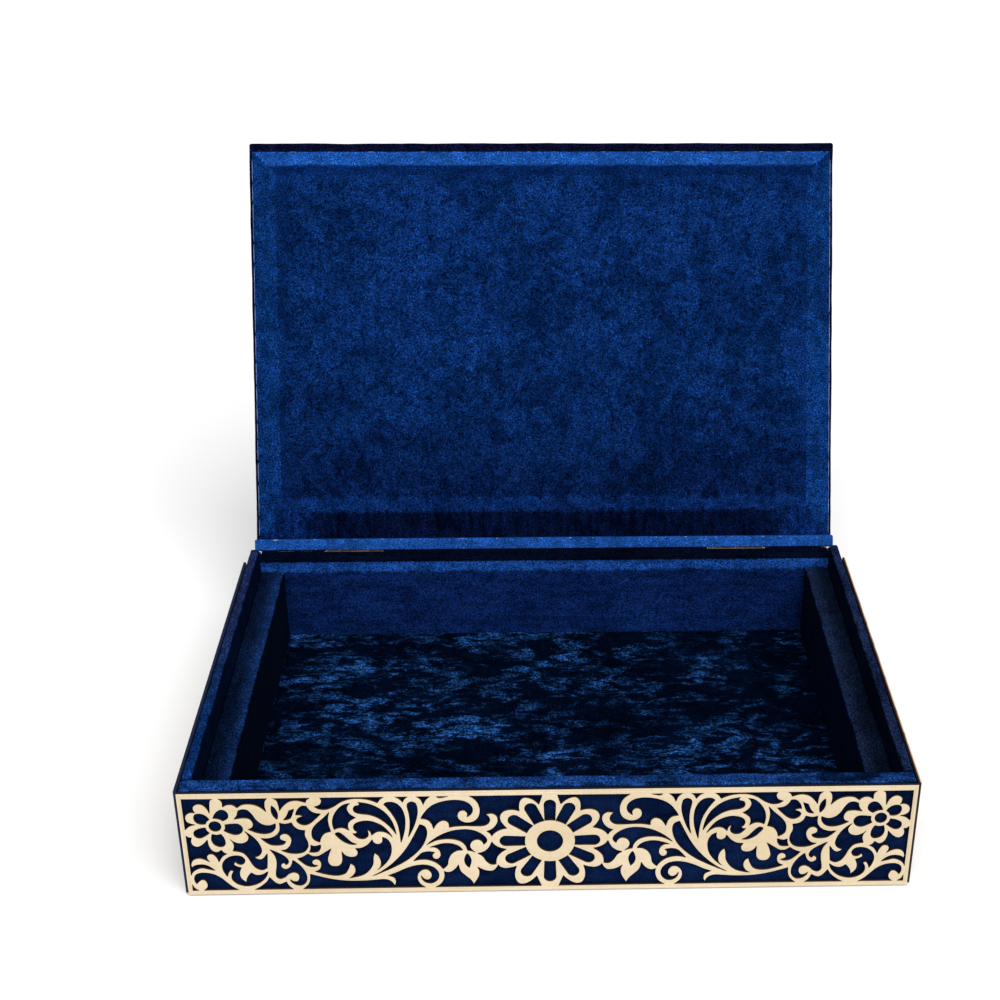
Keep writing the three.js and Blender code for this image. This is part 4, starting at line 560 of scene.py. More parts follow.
prof += [(IN_Y, BACK_Z - 2.5 - t) for t in np.arange(3.0, BACK_Z - 2.5 - WALL_Z0 - 1, 3.0)] + [(IN_Y, WALL_Z0)]
o = profile_bar("back_wall_velvet", prof, -xb, xb, 3.0, 0.1, 0.07, 7.0)
cut(o, cavity(-xb + SKIN, xb - SKIN, IN_Y + SKIN, HALF_D - SKIN, -5, BACK_Z - SKIN))
for hx in (-HINGE_X0 - 4 * KNUCKLE_PITCH, HINGE_X0):
    cut(o, box_mesh(hx - 0.5, hx + 4 * KNUCKLE_PITCH + 0.5, HALF_D - 0.6, HALF_D + 3, BACK_Z - 0.2, RIM_Z))
    for x in (hx + 6, hx + 4 * KNUCKLE_PITCH - 6):
        pts = circle(x, BOX_SCREW_Z, 1.1, 20)
        v = [(px, HALF_D - 2, pz) for px, pz in pts] + [(px, HALF_D + 1, pz) for px, pz in pts]
        f = [tuple(range(20)), tuple(range(39, 19, -1))] + [(i, 20 + i, 20 + (i + 1) % 20, (i + 1) % 20) for i in range(20)]
        m = mesh_from("hole_tmp", v, f)
        bm = bmesh.new(); bm.from_mesh(m); bmesh.ops.recalc_face_normals(bm, faces=bm.faces); bm.to_mesh(m); bm.free()
        cut(o, m)
walls["back"] = o

ledges = {}
for s in (-1, 1):
    side = "left" if s < 0 else "right"
    a, b = (LEDGE_X, IN_X - GAP) if s > 0 else (-IN_X + GAP, -LEDGE_X)
    o = soft_box(side + "_ledge_velvet", (a, -IN_Y + GAP, FLOOR_Z0 - 3.0), (b, IN_Y - GAP, LEDGE_Z), 1.5, 3.0, 4, 0.2, 0.08, 11.0 + s)
    cut(o, box_mesh(a - 2, b + 2, -IN_Y - 2, IN_Y + 2, -6, FLOOR_Z0))
    cut(o, cavity(a + SKIN, b - SKIN, -IN_Y + GAP + SKIN, IN_Y - GAP - SKIN, -5, LEDGE_Z - SKIN))
    ledges[side] = o

for o in list(walls.values()) + list(ledges.values()):
    clean(o.data)
    shade(o.data, 40)


def crease(x, y):
    """shallow folds and pressed patches of the floor lining, 0 to 1"""
    p = Vector((x * 0.028, y * 0.028, 0.0))
    warp = Vector((noise.noise(p + Vector((3, 1, 5))), noise.noise(p + Vector((7, 2, 9))), 0)) * 1.2
    a = 1 - abs(noise.noise(p * 1.7 + warp + Vector((1.5, 8.2, 0)))) * 2.2
    b = noise.noise(p * 4.3 + warp * 2)
    return max(0.0, min(1.0, 0.35 + 0.4 * a + 0.25 * b))


def floor_lining():
    x0, x1, y0, y1 = -LEDGE_X + 0.04, LEDGE_X - 0.04, -IN_Y + 0.04, IN_Y - 0.04
    nx, ny = 112, 80
    v, f = [], []
    for k, z in ((0, None), (1, FLOOR_Z0)):
        for j in range(ny + 1):
            for i in range(nx + 1):
                x, y = x0 + (x1 - x0) * i / nx, y0 + (y1 - y0) * j / ny
                if k == 0:
                    e = min(x - x0, x1 - x, y - y0, y1 - y)
                    fade = min(1.0, e / 3.0)
                    zz = FLOOR_Z1 - 0.42 + 0.5 * crease(x, y) * fade + 0.35 * (1 - fade)
                    v.append((x, y, zz))
                else:
                    v.append((x, y, z))
    n = (nx + 1) * (ny + 1)
    for j in range(ny):
        for i in range(nx):
            a = j * (nx + 1) + i
            b, c, d = a + 1, a + nx + 2, a + nx + 1
            f.append((a, b, c, d))
            f.append((n + a, n + d, n + c, n + b))
    for i in range(nx):
        a = i
        f.append((a, n + a, n + a + 1, a + 1))
        a = ny * (nx + 1) + i
        f.append((a + 1, n + a + 1, n + a, a))
    for j in range(ny):
        a = j * (nx + 1)
        f.append((a + nx + 1, n + a + nx + 1, n + a, a))
        a = j * (nx + 1) + nx
        f.append((a, n + a, n + a + nx + 1, a + nx + 1))
    o = link("floor_lining", mesh_from("floor_lining", v, f))
    clean(o.data)
    shade(o.data, 60)
    return o


floor = floor_lining()

# ------------------------------------------------------------------ lid, in its closed place
lid_cover = soft_box("lid_velvet", (-LID_HALF, LID_Y0, LID_Z0), (LID_HALF, HALF_D, LID_Z1), 1.5, 4.0, 4, 0.25, 0.06, 21.0)
spine = soft_box("spine_tmp", (-LID_HALF, SPINE_Y0, SPINE_Z0), (LID_HALF, HALF_D + 0.28, LID_Z0 + 3.5), 0.5, 4.0, 3, 0.06, 0.06, 25.0)
spine.data.name = "spine_tmp"
md = lid_cover.modifiers.new("u", "BOOLEAN")
md.operation, md.solver, md.object = "UNION", "EXACT", spine
bpy.context.view_layer.update()
apply_mods(lid_cover)
bpy.data.objects.remove(spine)
cut(lid_cover, box_mesh(-LID_HALF + SKIN, LID_HALF - SKIN, LID_Y0 + SKIN, HALF_D - SKIN, LID_Z0 + SKIN, LID_Z1 - SKIN))
cut(lid_cover, box_mesh(-LID_HALF + SKIN, LID_HALF - SKIN, SPINE_Y0 + SKIN, HALF_D - SKIN, SPINE_Z0 + SKIN, LID_Z0 + SKIN + 1))
cut(lid_cover, box_mesh(-LID_HALF + LIP_SIDE, LID_HALF - LIP_SIDE, LID_Y0 + LIP_FRONT, SPINE_Y0, LID_Z0 - 3, LID_Z0 + SKIN + 1))
clean(lid_cover.data)
shade(lid_cover.data, 40)

# A thin dark cord in the turned-edge velvet along the spine's back edge, cut away at the hinges: it fills the gap
# between the open lid and the back wall with dark, painted shade where only shade falls.
GAP_CORD_Y, GAP_CORD_Z, GAP_CORD_R = HALF_D + 0.28, SPINE_Z0 + 0.5, 0.45
_v, _f, _k = [], [], 10
_n = 60
for _j in range(_n + 1):
    _x = -LID_HALF + 0.3 + (2 * LID_HALF - 0.6) * _j / _n
    for _i in range(_k):
        _q = 2 * math.pi * _i / _k
        _r = GAP_CORD_R * (0.5 if _j in (0, _n) else 1.0 + 0.08 * noise.noise(Vector((_x * 0.3, 2.0, 5.0))))
        _v.append((_x, GAP_CORD_Y + _r * math.cos(_q), GAP_CORD_Z + _r * math.sin(_q)))
for _j in range(_n):
    for _i in range(_k):
        _a, _b = _j * _k + _i, _j * _k + (_i + 1) % _k
        _f.append((_a, _b, _b + _k, _a + _k))
_f.append(tuple(range(_k - 1, -1, -1)))
_f.append(tuple(range(_n * _k, (_n + 1) * _k)))
_m = mesh_from("spine_gap_shade_cord", _v, _f)
bm = bmesh.new(); bm.from_mesh(_m); bmesh.ops.recalc_face_normals(bm, faces=bm.faces); bm.to_mesh(_m); bm.free()
shade(_m, 60)
gap_shade_cord = link("spine_gap_shade_cord", _m)
for hx in (-HINGE_X0 - 4 * KNUCKLE_PITCH, HINGE_X0):
    cut(gap_shade_cord, box_mesh(hx - 0.3, hx + 4 * KNUCKLE_PITCH + 0.3, HALF_D - 3, HALF_D + 4, SPINE_Z0 - 3, SPINE_Z0 + 3))

# raised lining: four bands mitred at the corners round a flat field, every field filled out a little
PX, PY0, PY1 = LID_HALF - LIP_SIDE - GAP, LID_Y0 + LIP_FRONT + GAP, SPINE_Y0 - GAP
PAD_BACK = LID_Z0 + SKIN
BAND = [(0.0, LID_Z0 + 0.25), (1.0, LID_Z0 - 0.1), (3.4, LID_Z0 - 0.75), (7.0, LID_Z0 - 1.75), (12.6, LID_Z0 - 2.75)]


def pad_height(x, y):
    """underside of the lining at (x, y), and which band it is: 0 field, 1 front, 2 back, 3 left, 4 right"""
    # distance in from each side, the back and front bands a little wider than the side ones
    dl, dr, df, db = x + PX, PX - x, (y - PY0), (PY1 - y) * 12.6 / 16.0
    d = min(dl, dr, df, db)
    d = max(d, 0.0)
    band = 0 if d > 12.6 else (1 if min(dl, dr, db) > df else 2 if min(dl, dr, df) > db else 3 if dl < dr else 4)
    z = BAND[-1][1]
    for (a, za), (b, zb) in zip(BAND, BAND[1:]):
        if a <= d <= b:
            z = za + (zb - za) * (d - a) / (b - a)
            break
    return z, band, d


def pad_axis(lo, hi, edge, step):
    fine = [0.0, 0.5, 1.2, 2.2, 3.4, 5.2, 7.0, 9.0, 11.0, 12.6]
    k = edge / 12.6
    a = [lo + t * k for t in fine]
    b = [hi - t * k for t in reversed(fine)]
    n = max(2, int(round((b[0] - a[-1]) / step)))
    return a + list(np.linspace(a[-1], b[0], n + 1))[1:-1] + b


def lining_mesh():
    xs = pad_axis(-PX - 0.25, PX + 0.25, 12.85, 4.0)
    ys = pad_axis(PY0 - 0.25, PY1 + 0.25, 12.85, 4.0)
    ys = [y if y < (PY0 + PY1) / 2 else PY1 - (PY1 - y) * 16.0 / 12.6 if PY1 - y <= 12.6 else y for y in ys]
    ys = sorted(min(y, PY1 + 0.25) for y in ys)
    y_lim = PY1 - 16.0
    ys = [y for y in ys if not (y_lim - 2.0 < y < y_lim)]
    nx, ny = len(xs), len(ys)
    v, f, band = [], [], []
    for k in (0, 1):
        for y in ys:
            for x in xs:
                v.append((x, y, pad_height(x, y)[0] if k == 0 else PAD_BACK))
    n = nx * ny
    for j in range(ny - 1):
        for i in range(nx - 1):
            a = j * nx + i
            b, c, d = a + 1, a + nx + 1, a + nx
            cx, cy = (xs[i] + xs[i + 1]) / 2, (ys[j] + ys[j + 1]) / 2
            bd = pad_height(cx, cy)[1]
            f.append((a, d, c, b)); band.append(bd)
            f.append((n + a, n + b, n + c, n + d)); band.append(0)
    for i in range(nx - 1):
        f.append((i, i + 1, n + i + 1, n + i)); band.append(1)
        a = (ny - 1) * nx + i
        f.append((a + 1, a, n + a, n + a + 1)); band.append(2)
    for j in range(ny - 1):
        a = j * nx
        f.append((a, n + a, n + a + nx, a + nx)); band.append(3)
        a = j * nx + nx - 1
        f.append((a + nx, n + a + nx, n + a, a)); band.append(4)
    m = mesh_from("lid_lining", v, f)
    return m, band, n, v


lm, pad_band, pad_n, pad_v = lining_mesh()
lining = link("lid_lining", lm)
bm = bmesh.new(); bm.from_mesh(lm); bmesh.ops.recalc_face_normals(bm, faces=bm.faces); bm.to_mesh(lm); bm.free()


def fill_out(o, start, cap_mm):
    """let the wadding swell the cloth between its folds, then stop it at a cap"""
    hold = o.vertex_groups.new(name="hold")
    for i, p in enumerate(start):
        x, y, z = p
        w = 1.0
        if i < pad_n:
            d = pad_height(x, y)[2]
            near = min(abs(d - t) for t in (0.0, 3.4, 12.6))
            dl, dr, df, db = x + PX, PX - x, (y - PY0), (PY1 - y) * 12.6 / 16.0
            q = sorted((dl, dr, df, db))
            mitre = (q[1] - q[0]) if q[0] < 12.6 else 99
            w = 1.0 if near < 0.3 or mitre < 0.8 else 0.0
            if d > 14:
                w = 0.02
        hold.add([i], w, "REPLACE")
    md = o.modifiers.new("cloth", "CLOTH")
    st = md.settings
    st.quality = 4
    st.mass = 0.15
    st.tension_stiffness = st.compression_stiffness = 12
    st.bending_stiffness = 0.8
    st.use_pressure = True
    st.uniform_pressure_force = 4
    st.effector_weights.gravity = 0
    st.vertex_group_mass = "hold"
    st.pin_stiffness = 1.0
    md.collision_settings.use_collision = False
    md.point_cache.frame_start, md.point_cache.frame_end = 1, 20
    for fr in range(1, 21):
        scene.frame_set(fr)
    apply_mods(o)
    scene.frame_set(1)
    for i, p in enumerate(start):
        p0 = Vector(p) * MM
        d = o.data.vertices[i].co - p0
        d.x *= 0.15
        d.y *= 0.15
        if i >= pad_n:
            d = Vector((0, 0, 0))
        if d.length > cap_mm * MM:
            d *= cap_mm * MM / d.length
        q = p0 + d
        q.z = max(q.z, (LID_Z0 - PAD_H) * MM)
        o.data.vertices[i].co = q


for i in range(pad_n):
    x, y, z = pad_v[i]
    z += 0.10 * (noise.noise(Vector((x * 0.02, y * 0.02, 4.0))) + 0.5 * noise.noise(Vector((x * 0.07, y * 0.07, 9.0)))) * min(1.0, pad_height(x, y)[2] / 4.0)
    pad_v[i] = (x, y, z)
    lining.data.vertices[i].co = Vector((x, y, z)) * MM
fill_out(lining, pad_v, 0.7)
for p, b in zip(lining.data.polygons, pad_band):
    p.material_index = b
shade(lining.data, 50)


def dashes(name, p0, p1, r, on, off, seed):
    """short lengths along a line, as one mesh of small closed tubes: the pale seam dashes, and painted glints"""
    rng = np.random.default_rng(seed)
    p0, p1 = Vector(p0), Vector(p1)
    L = (p1 - p0).length
    u = (p1 - p0).normalized()
    a = u.orthogonal().normalized()
    b2 = u.cross(a)
    v, f, s = [], [], float(rng.uniform(0, off[1]))
    while s < L:
        n = float(rng.uniform(*on))
        e = min(L, s + n)
        if e - s > 0.3:
            k, base, m = 6, len(v), max(2, int((e - s) / 2.0))
            for j in range(m + 1):
                t = s + (e - s) * j / m
                rr = r * (0.45 if j in (0, m) else float(rng.uniform(0.8, 1.15)))
                w = a * float(rng.normal(0, r * 0.25)) + b2 * float(rng.normal(0, r * 0.25))
                for i in range(k):
                    q = 2 * math.pi * i / k
                    v.append(p0 + u * t + w + (a * math.cos(q) + b2 * math.sin(q)) * rr)
            for j in range(m):
                for i in range(k):
                    c, d = base + j * k + i, base + j * k + (i + 1) % k
                    f.append((c, d, d + k, c + k))
            f.append(tuple(base + i for i in reversed(range(k))))
            f.append(tuple(base + m * k + i for i in range(k)))
        s = e + float(rng.uniform(*off))
    m = mesh_from(name, v, f)
    bm = bmesh.new()
    bm.from_mesh(m)
    bmesh.ops.recalc_face_normals(bm, faces=bm.faces)
    bm.to_mesh(m)
    bm.free()
    shade(m, 60)
    return link(name, m)


SX, SZ = LID_HALF - LIP_SIDE - 0.12, LID_Z0 - 0.02
seams = [
    dashes("lid_seam_right", (SX, PY0 + 3, SZ), (SX, PY1 - 1, SZ), 0.11, (9, 24), (0.4, 1.6), 5),
    dashes("lid_seam_left", (-SX, PY0 + 3, SZ), (-SX, PY1 - 1, SZ), 0.11, (7, 20), (0.6, 2.4), 6),
    dashes("lid_seam_front", (-PX + 4, PY0 - 0.1, SZ), (PX - 4, PY0 - 0.1, SZ), 0.13, (1.6, 3.4), (9, 26), 7),
]
# near-white dashes along the spine's upper edge: painted glints
glints = [
    dashes("rail_edge_thread", (-LID_HALF + 4, SPINE_Y0 + 0.3, SPINE_Z0 + 0.28), (LID_HALF - 3, SPINE_Y0 + 0.3, SPINE_Z0 + 0.28), 0.17, (1.2, 6.5), (4, 16), 8),
]

# ------------------------------------------------------------------ hinges: leaves with knuckles, pins and slotted screws
def lathe(name, prof, n, matrix):
    """a turned piece: (radius, height) pairs round +Z, placed by a matrix in mm"""
    v, f, rows = [], [], []
    for r, h in prof:
        if r < 1e-6:
            rows.append([len(v)])
            v.append((0, 0, h))
        else:
            rows.append([len(v) + i for i in range(n)])
            v += [(r * math.cos(2 * math.pi * i / n), r * math.sin(2 * math.pi * i / n), h) for i in range(n)]
    for a, b in zip(rows, rows[1:]):
        for i in range(n):
            j = (i + 1) % n
            if len(a) == 1:
                f.append((a[0], b[j], b[i]))
            elif len(b) == 1:
                f.append((a[i], a[j], b[0]))
            else:
                f.append((a[i], a[j], b[j], b[i]))
    m = bpy.data.meshes.new(name)
    m.from_pydata(v, [], f)
    m.transform(Matrix.Scale(MM, 4) @ matrix)
    bm = bmesh.new()
    bm.from_mesh(m)
    bmesh.ops.recalc_face_normals(bm, faces=bm.faces)
    bm.to_mesh(m)
    bm.free()
    return m


ALONG_X = Matrix.Rotation(math.radians(90), 4, "Y")
ALONG_BACK = Matrix.Rotation(math.radians(-90), 4, "X")       # +Z turned to +Y


def join_union(o, mesh):
    return cut(o, mesh, "UNION")


def hinge_leaf(name, x0, on_box):
    x1 = x0 + 4 * KNUCKLE_PITCH
    y0, y1 = HALF_D + GAP, HALF_D + GAP + LEAF_T
    z0 = PIN_Z - KNUCKLE_R - GAP - LEAF_H if on_box else PIN_Z + KNUCKLE_R + GAP
    zs = BOX_SCREW_Z if on_box else LID_SCREW_Z
    xa, xb2, r = x0 + 0.1, x1 - 0.1, 1.2
    # plate with its two far corners rounded and countersunk screw holes
    q = []
    far, near = (z0, z0 + LEAF_H) if on_box else (z0 + LEAF_H, z0)
    s = 1 if on_box else -1
    for cx, st in ((xa + r, 180), (xb2 - r, 270)):
        for i in range(7):
            t = math.radians(st + 90 * i / 6)
            q.append((cx + r * math.cos(t), far + s * (r + r * math.sin(t))))
    q += [(xb2, near), (xa, near)]
    holes = [circle(x, zs, 1.1, 24) for x in (x0 + 6, x1 - 6)]
    m = flat_curve([q] + holes, LEAF_T, 0.08)
    o = link(name, place(m, Matrix(((1, 0, 0, 0), (0, 0, -1, y1), (0, 1, 0, 0), (0, 0, 0, 1)))))
    clean(o.data)
    for k in range(4):
        if (k % 2 == 0) != on_box:
            continue
        a, b = x0 + k * KNUCKLE_PITCH + GAP / 2, x0 + (k + 1) * KNUCKLE_PITCH - GAP / 2
        L = b - a
        R = KNUCKLE_R
        prof = [(0, -L / 2), (R - 0.15, -L / 2), (R - 0.03, -L / 2 + 0.06), (R, -L / 2 + 0.2), (R, L / 2 - 0.2), (R - 0.03, L / 2 - 0.06), (R - 0.15, L / 2), (0, L / 2)]
        join_union(o, lathe("k_tmp", prof, 40, Matrix.Translation(((a + b) / 2, PIN_Y, PIN_Z)) @ ALONG_X))
        ya, yb = y0 + 0.02, y1 - 0.02
        join_union(o, box_mesh(a + 0.02, b - 0.02, ya, yb, z0 + LEAF_H - 0.6, PIN_Z) if on_box else box_mesh(a + 0.02, b - 0.02, ya, yb, PIN_Z, z0 + 0.6))
    prof = [(0, -20), (KNUCKLE_BORE, -20), (KNUCKLE_BORE, 20), (0, 20)]
    cut(o, lathe("bore_tmp", prof, 36, Matrix.Translation(((x0 + x1) / 2, PIN_Y, PIN_Z)) @ ALONG_X))
    clean(o.data)
    shade(o.data, 30)
    return o


def slotted_screw(name, x, z):
    top = HALF_D + GAP + LEAF_T + GAP
    prof = [(0, -6.2), (0.75, -4.8), (0.75, -0.25), (0.95, 0.0), (1.82, 0.0), (1.9, 0.06), (1.9, 0.2), (1.72, 0.42), (1.35, 0.6), (0.8, 0.71), (0, 0.75)]
    o = link(name, lathe(name, prof, 36, Matrix.Translation((x, top, z)) @ ALONG_BACK))
    c = box_mesh(-3, 3, top + 0.42, top + 2, -0.22, 0.22)
    c.transform(Matrix.Translation((x * MM, 0, z * MM)) @ Matrix.Rotation(math.radians((x * 37) % 180), 4, "Y"))
    cut(o, c)
    shade(o.data, 30)
    return o


hinge_bits = []
for hn, hx in (("left", -HINGE_X0 - 4 * KNUCKLE_PITCH), ("right", HINGE_X0)):
    hinge_bits.append((hinge_leaf(hn + "_hinge_leaf_on_box", hx, True), "box", hn + "_hinge_box_leaf"))
    hinge_bits.append((hinge_leaf(hn + "_hinge_leaf_on_lid", hx, False), "lid", hn + "_hinge_lid_leaf"))
    L = 4 * KNUCKLE_PITCH + 2 * (GAP + 0.5)
    prof = [(0, -L / 2), (0.8, -L / 2 + 0.04), (1.1, -L / 2 + 0.15), (1.25, -L / 2 + 0.38), (1.2, -L / 2 + 0.5), (0.7, -L / 2 + 0.5),
            (0.7, L / 2 - 0.5), (1.2, L / 2 - 0.5), (1.25, L / 2 - 0.38), (1.1, L / 2 - 0.15), (0.8, L / 2 - 0.04), (0, L / 2)]
    p = link(hn + "_hinge_pin_turned", lathe("pin", prof, 28, Matrix.Translation((hx + 2 * KNUCKLE_PITCH, PIN_Y, PIN_Z)) @ ALONG_X))
    shade(p.data, 30)
    hinge_bits.append((p, "box", hn + "_hinge_pin"))
    for i, x in enumerate((hx + 6, hx + 4 * KNUCKLE_PITCH - 6)):
        hinge_bits.append((slotted_screw("%s_box_screw_%d_slotted" % (hn, i + 1), x, BOX_SCREW_Z), "box", "%s_box_screw_%d" % (hn, i + 1)))
        hinge_bits.append((slotted_screw("%s_lid_screw_%d_slotted" % (hn, i + 1), x, LID_SCREW_Z), "lid", "%s_lid_screw_%d" % (hn, i + 1)))

# ------------------------------------------------------------------ finishes
def lin(rgb, k=1.0):
    out = []
    for c in rgb:
        c = c / 255.0
        out.append((c / 12.92 if c <= 0.04045 else ((c + 0.055) / 1.055) ** 2.4) * k)
    return (*out, 1.0)


class Tree:
    """short node-tree writer"""

    def __init__(self, name):
        self.mat = bpy.data.materials.new(name)
        self.mat.use_nodes = True
        self.nt = self.mat.node_tree
        self.nt.nodes.clear()
        self.out = self.nt.nodes.new("ShaderNodeOutputMaterial")
        self.bsdf = self.nt.nodes.new("ShaderNodeBsdfPrincipled")
        self.nt.links.new(self.bsdf.outputs[0], self.out.inputs[0])
        self.tc = self.nt.nodes.new("ShaderNodeTexCoord")
        self.obj = self.tc.outputs["Object"]
        self.nrm = self.tc.outputs["Normal"]

    def put(self, sock, v):
        if isinstance(v, bpy.types.NodeSocket):
            self.nt.links.new(v, sock)
        else:
            sock.default_value = v

    def noise(self, scale, detail=2.0, rough=0.5, distort=0.0, vec=None, w=None):
        n = self.nt.nodes.new("ShaderNodeTexNoise")
        n.inputs["Scale"].default_value = scale
        n.inputs["Detail"].default_value = detail
        n.inputs["Roughness"].default_value = rough
        n.inputs["Distortion"].default_value = distort
        self.put(n.inputs["Vector"], vec or self.obj)
        return n.outputs[0]

    def scaled(self, s, loc=(0, 0, 0), rot=(0, 0, 0)):
        m = self.nt.nodes.new("ShaderNodeMapping")
        m.inputs["Scale"].default_value = s
        m.inputs["Location"].default_value = loc
        m.inputs["Rotation"].default_value = rot
        self.put(m.inputs["Vector"], self.obj)
        return m.outputs[0]

    def math(self, op, a, b=0.0, c=None):
        m = self.nt.nodes.new("ShaderNodeMath")
        m.operation = op
        self.put(m.inputs[0], a)
        self.put(m.inputs[1], b)
        if c is not None:
            self.put(m.inputs[2], c)
        return m.outputs[0]

    def ramp(self, v, a, b, lo=0.0, hi=1.0, smooth=True):
        m = self.nt.nodes.new("ShaderNodeMapRange")
        m.interpolation_type = "SMOOTHSTEP" if smooth else "LINEAR"
        self.put(m.inputs[0], v)
        m.inputs[1].default_value, m.inputs[2].default_value = a, b
        m.inputs[3].default_value, m.inputs[4].default_value = lo, hi
        return m.outputs[0]

    def mix(self, f, a, b, blend="MIX"):
        m = self.nt.nodes.new("ShaderNodeMix")
        m.data_type = "RGBA"
        m.blend_type = blend
        self.put(m.inputs[0], f)
        self.put(m.inputs[6], a)
        self.put(m.inputs[7], b)
        return m.outputs[2]

    def grey(self, v):
        m = self.nt.nodes.new("ShaderNodeCombineColor")
        for i in range(3):
            self.put(m.inputs[i], v)
        return m.outputs[0]

    def sep(self, v):
        m = self.nt.nodes.new("ShaderNodeSeparateXYZ")
        self.put(m.inputs[0], v)
        return m.outputs[0], m.outputs[1], m.outputs[2]

    def voronoi(self, scale, feature="F1", vec=None, rand=1.0):
        m = self.nt.nodes.new("ShaderNodeTexVoronoi")
        m.feature = feature
        m.inputs["Scale"].default_value = scale
        m.inputs["Randomness"].default_value = rand
        self.put(m.inputs["Vector"], vec or self.obj)
        return m

    def bump(self, h, strength, dist):
        m = self.nt.nodes.new("ShaderNodeBump")
        m.inputs["Strength"].default_value = strength
        m.inputs["Distance"].default_value = dist
        self.put(m.inputs["Height"], h)
        self.nt.links.new(m.outputs[0], self.bsdf.inputs["Normal"])

    def edge(self):
        """1 on rounded edges, 0 on flat faces square to the axes"""
        x, y, z = self.sep(self.nrm)
        m = self.math("MAXIMUM", self.math("ABSOLUTE", x), self.math("ABSOLUTE", y))
        m = self.math("MAXIMUM", m, self.math("ABSOLUTE", z))
        return self.ramp(m, 0.97, 0.80)


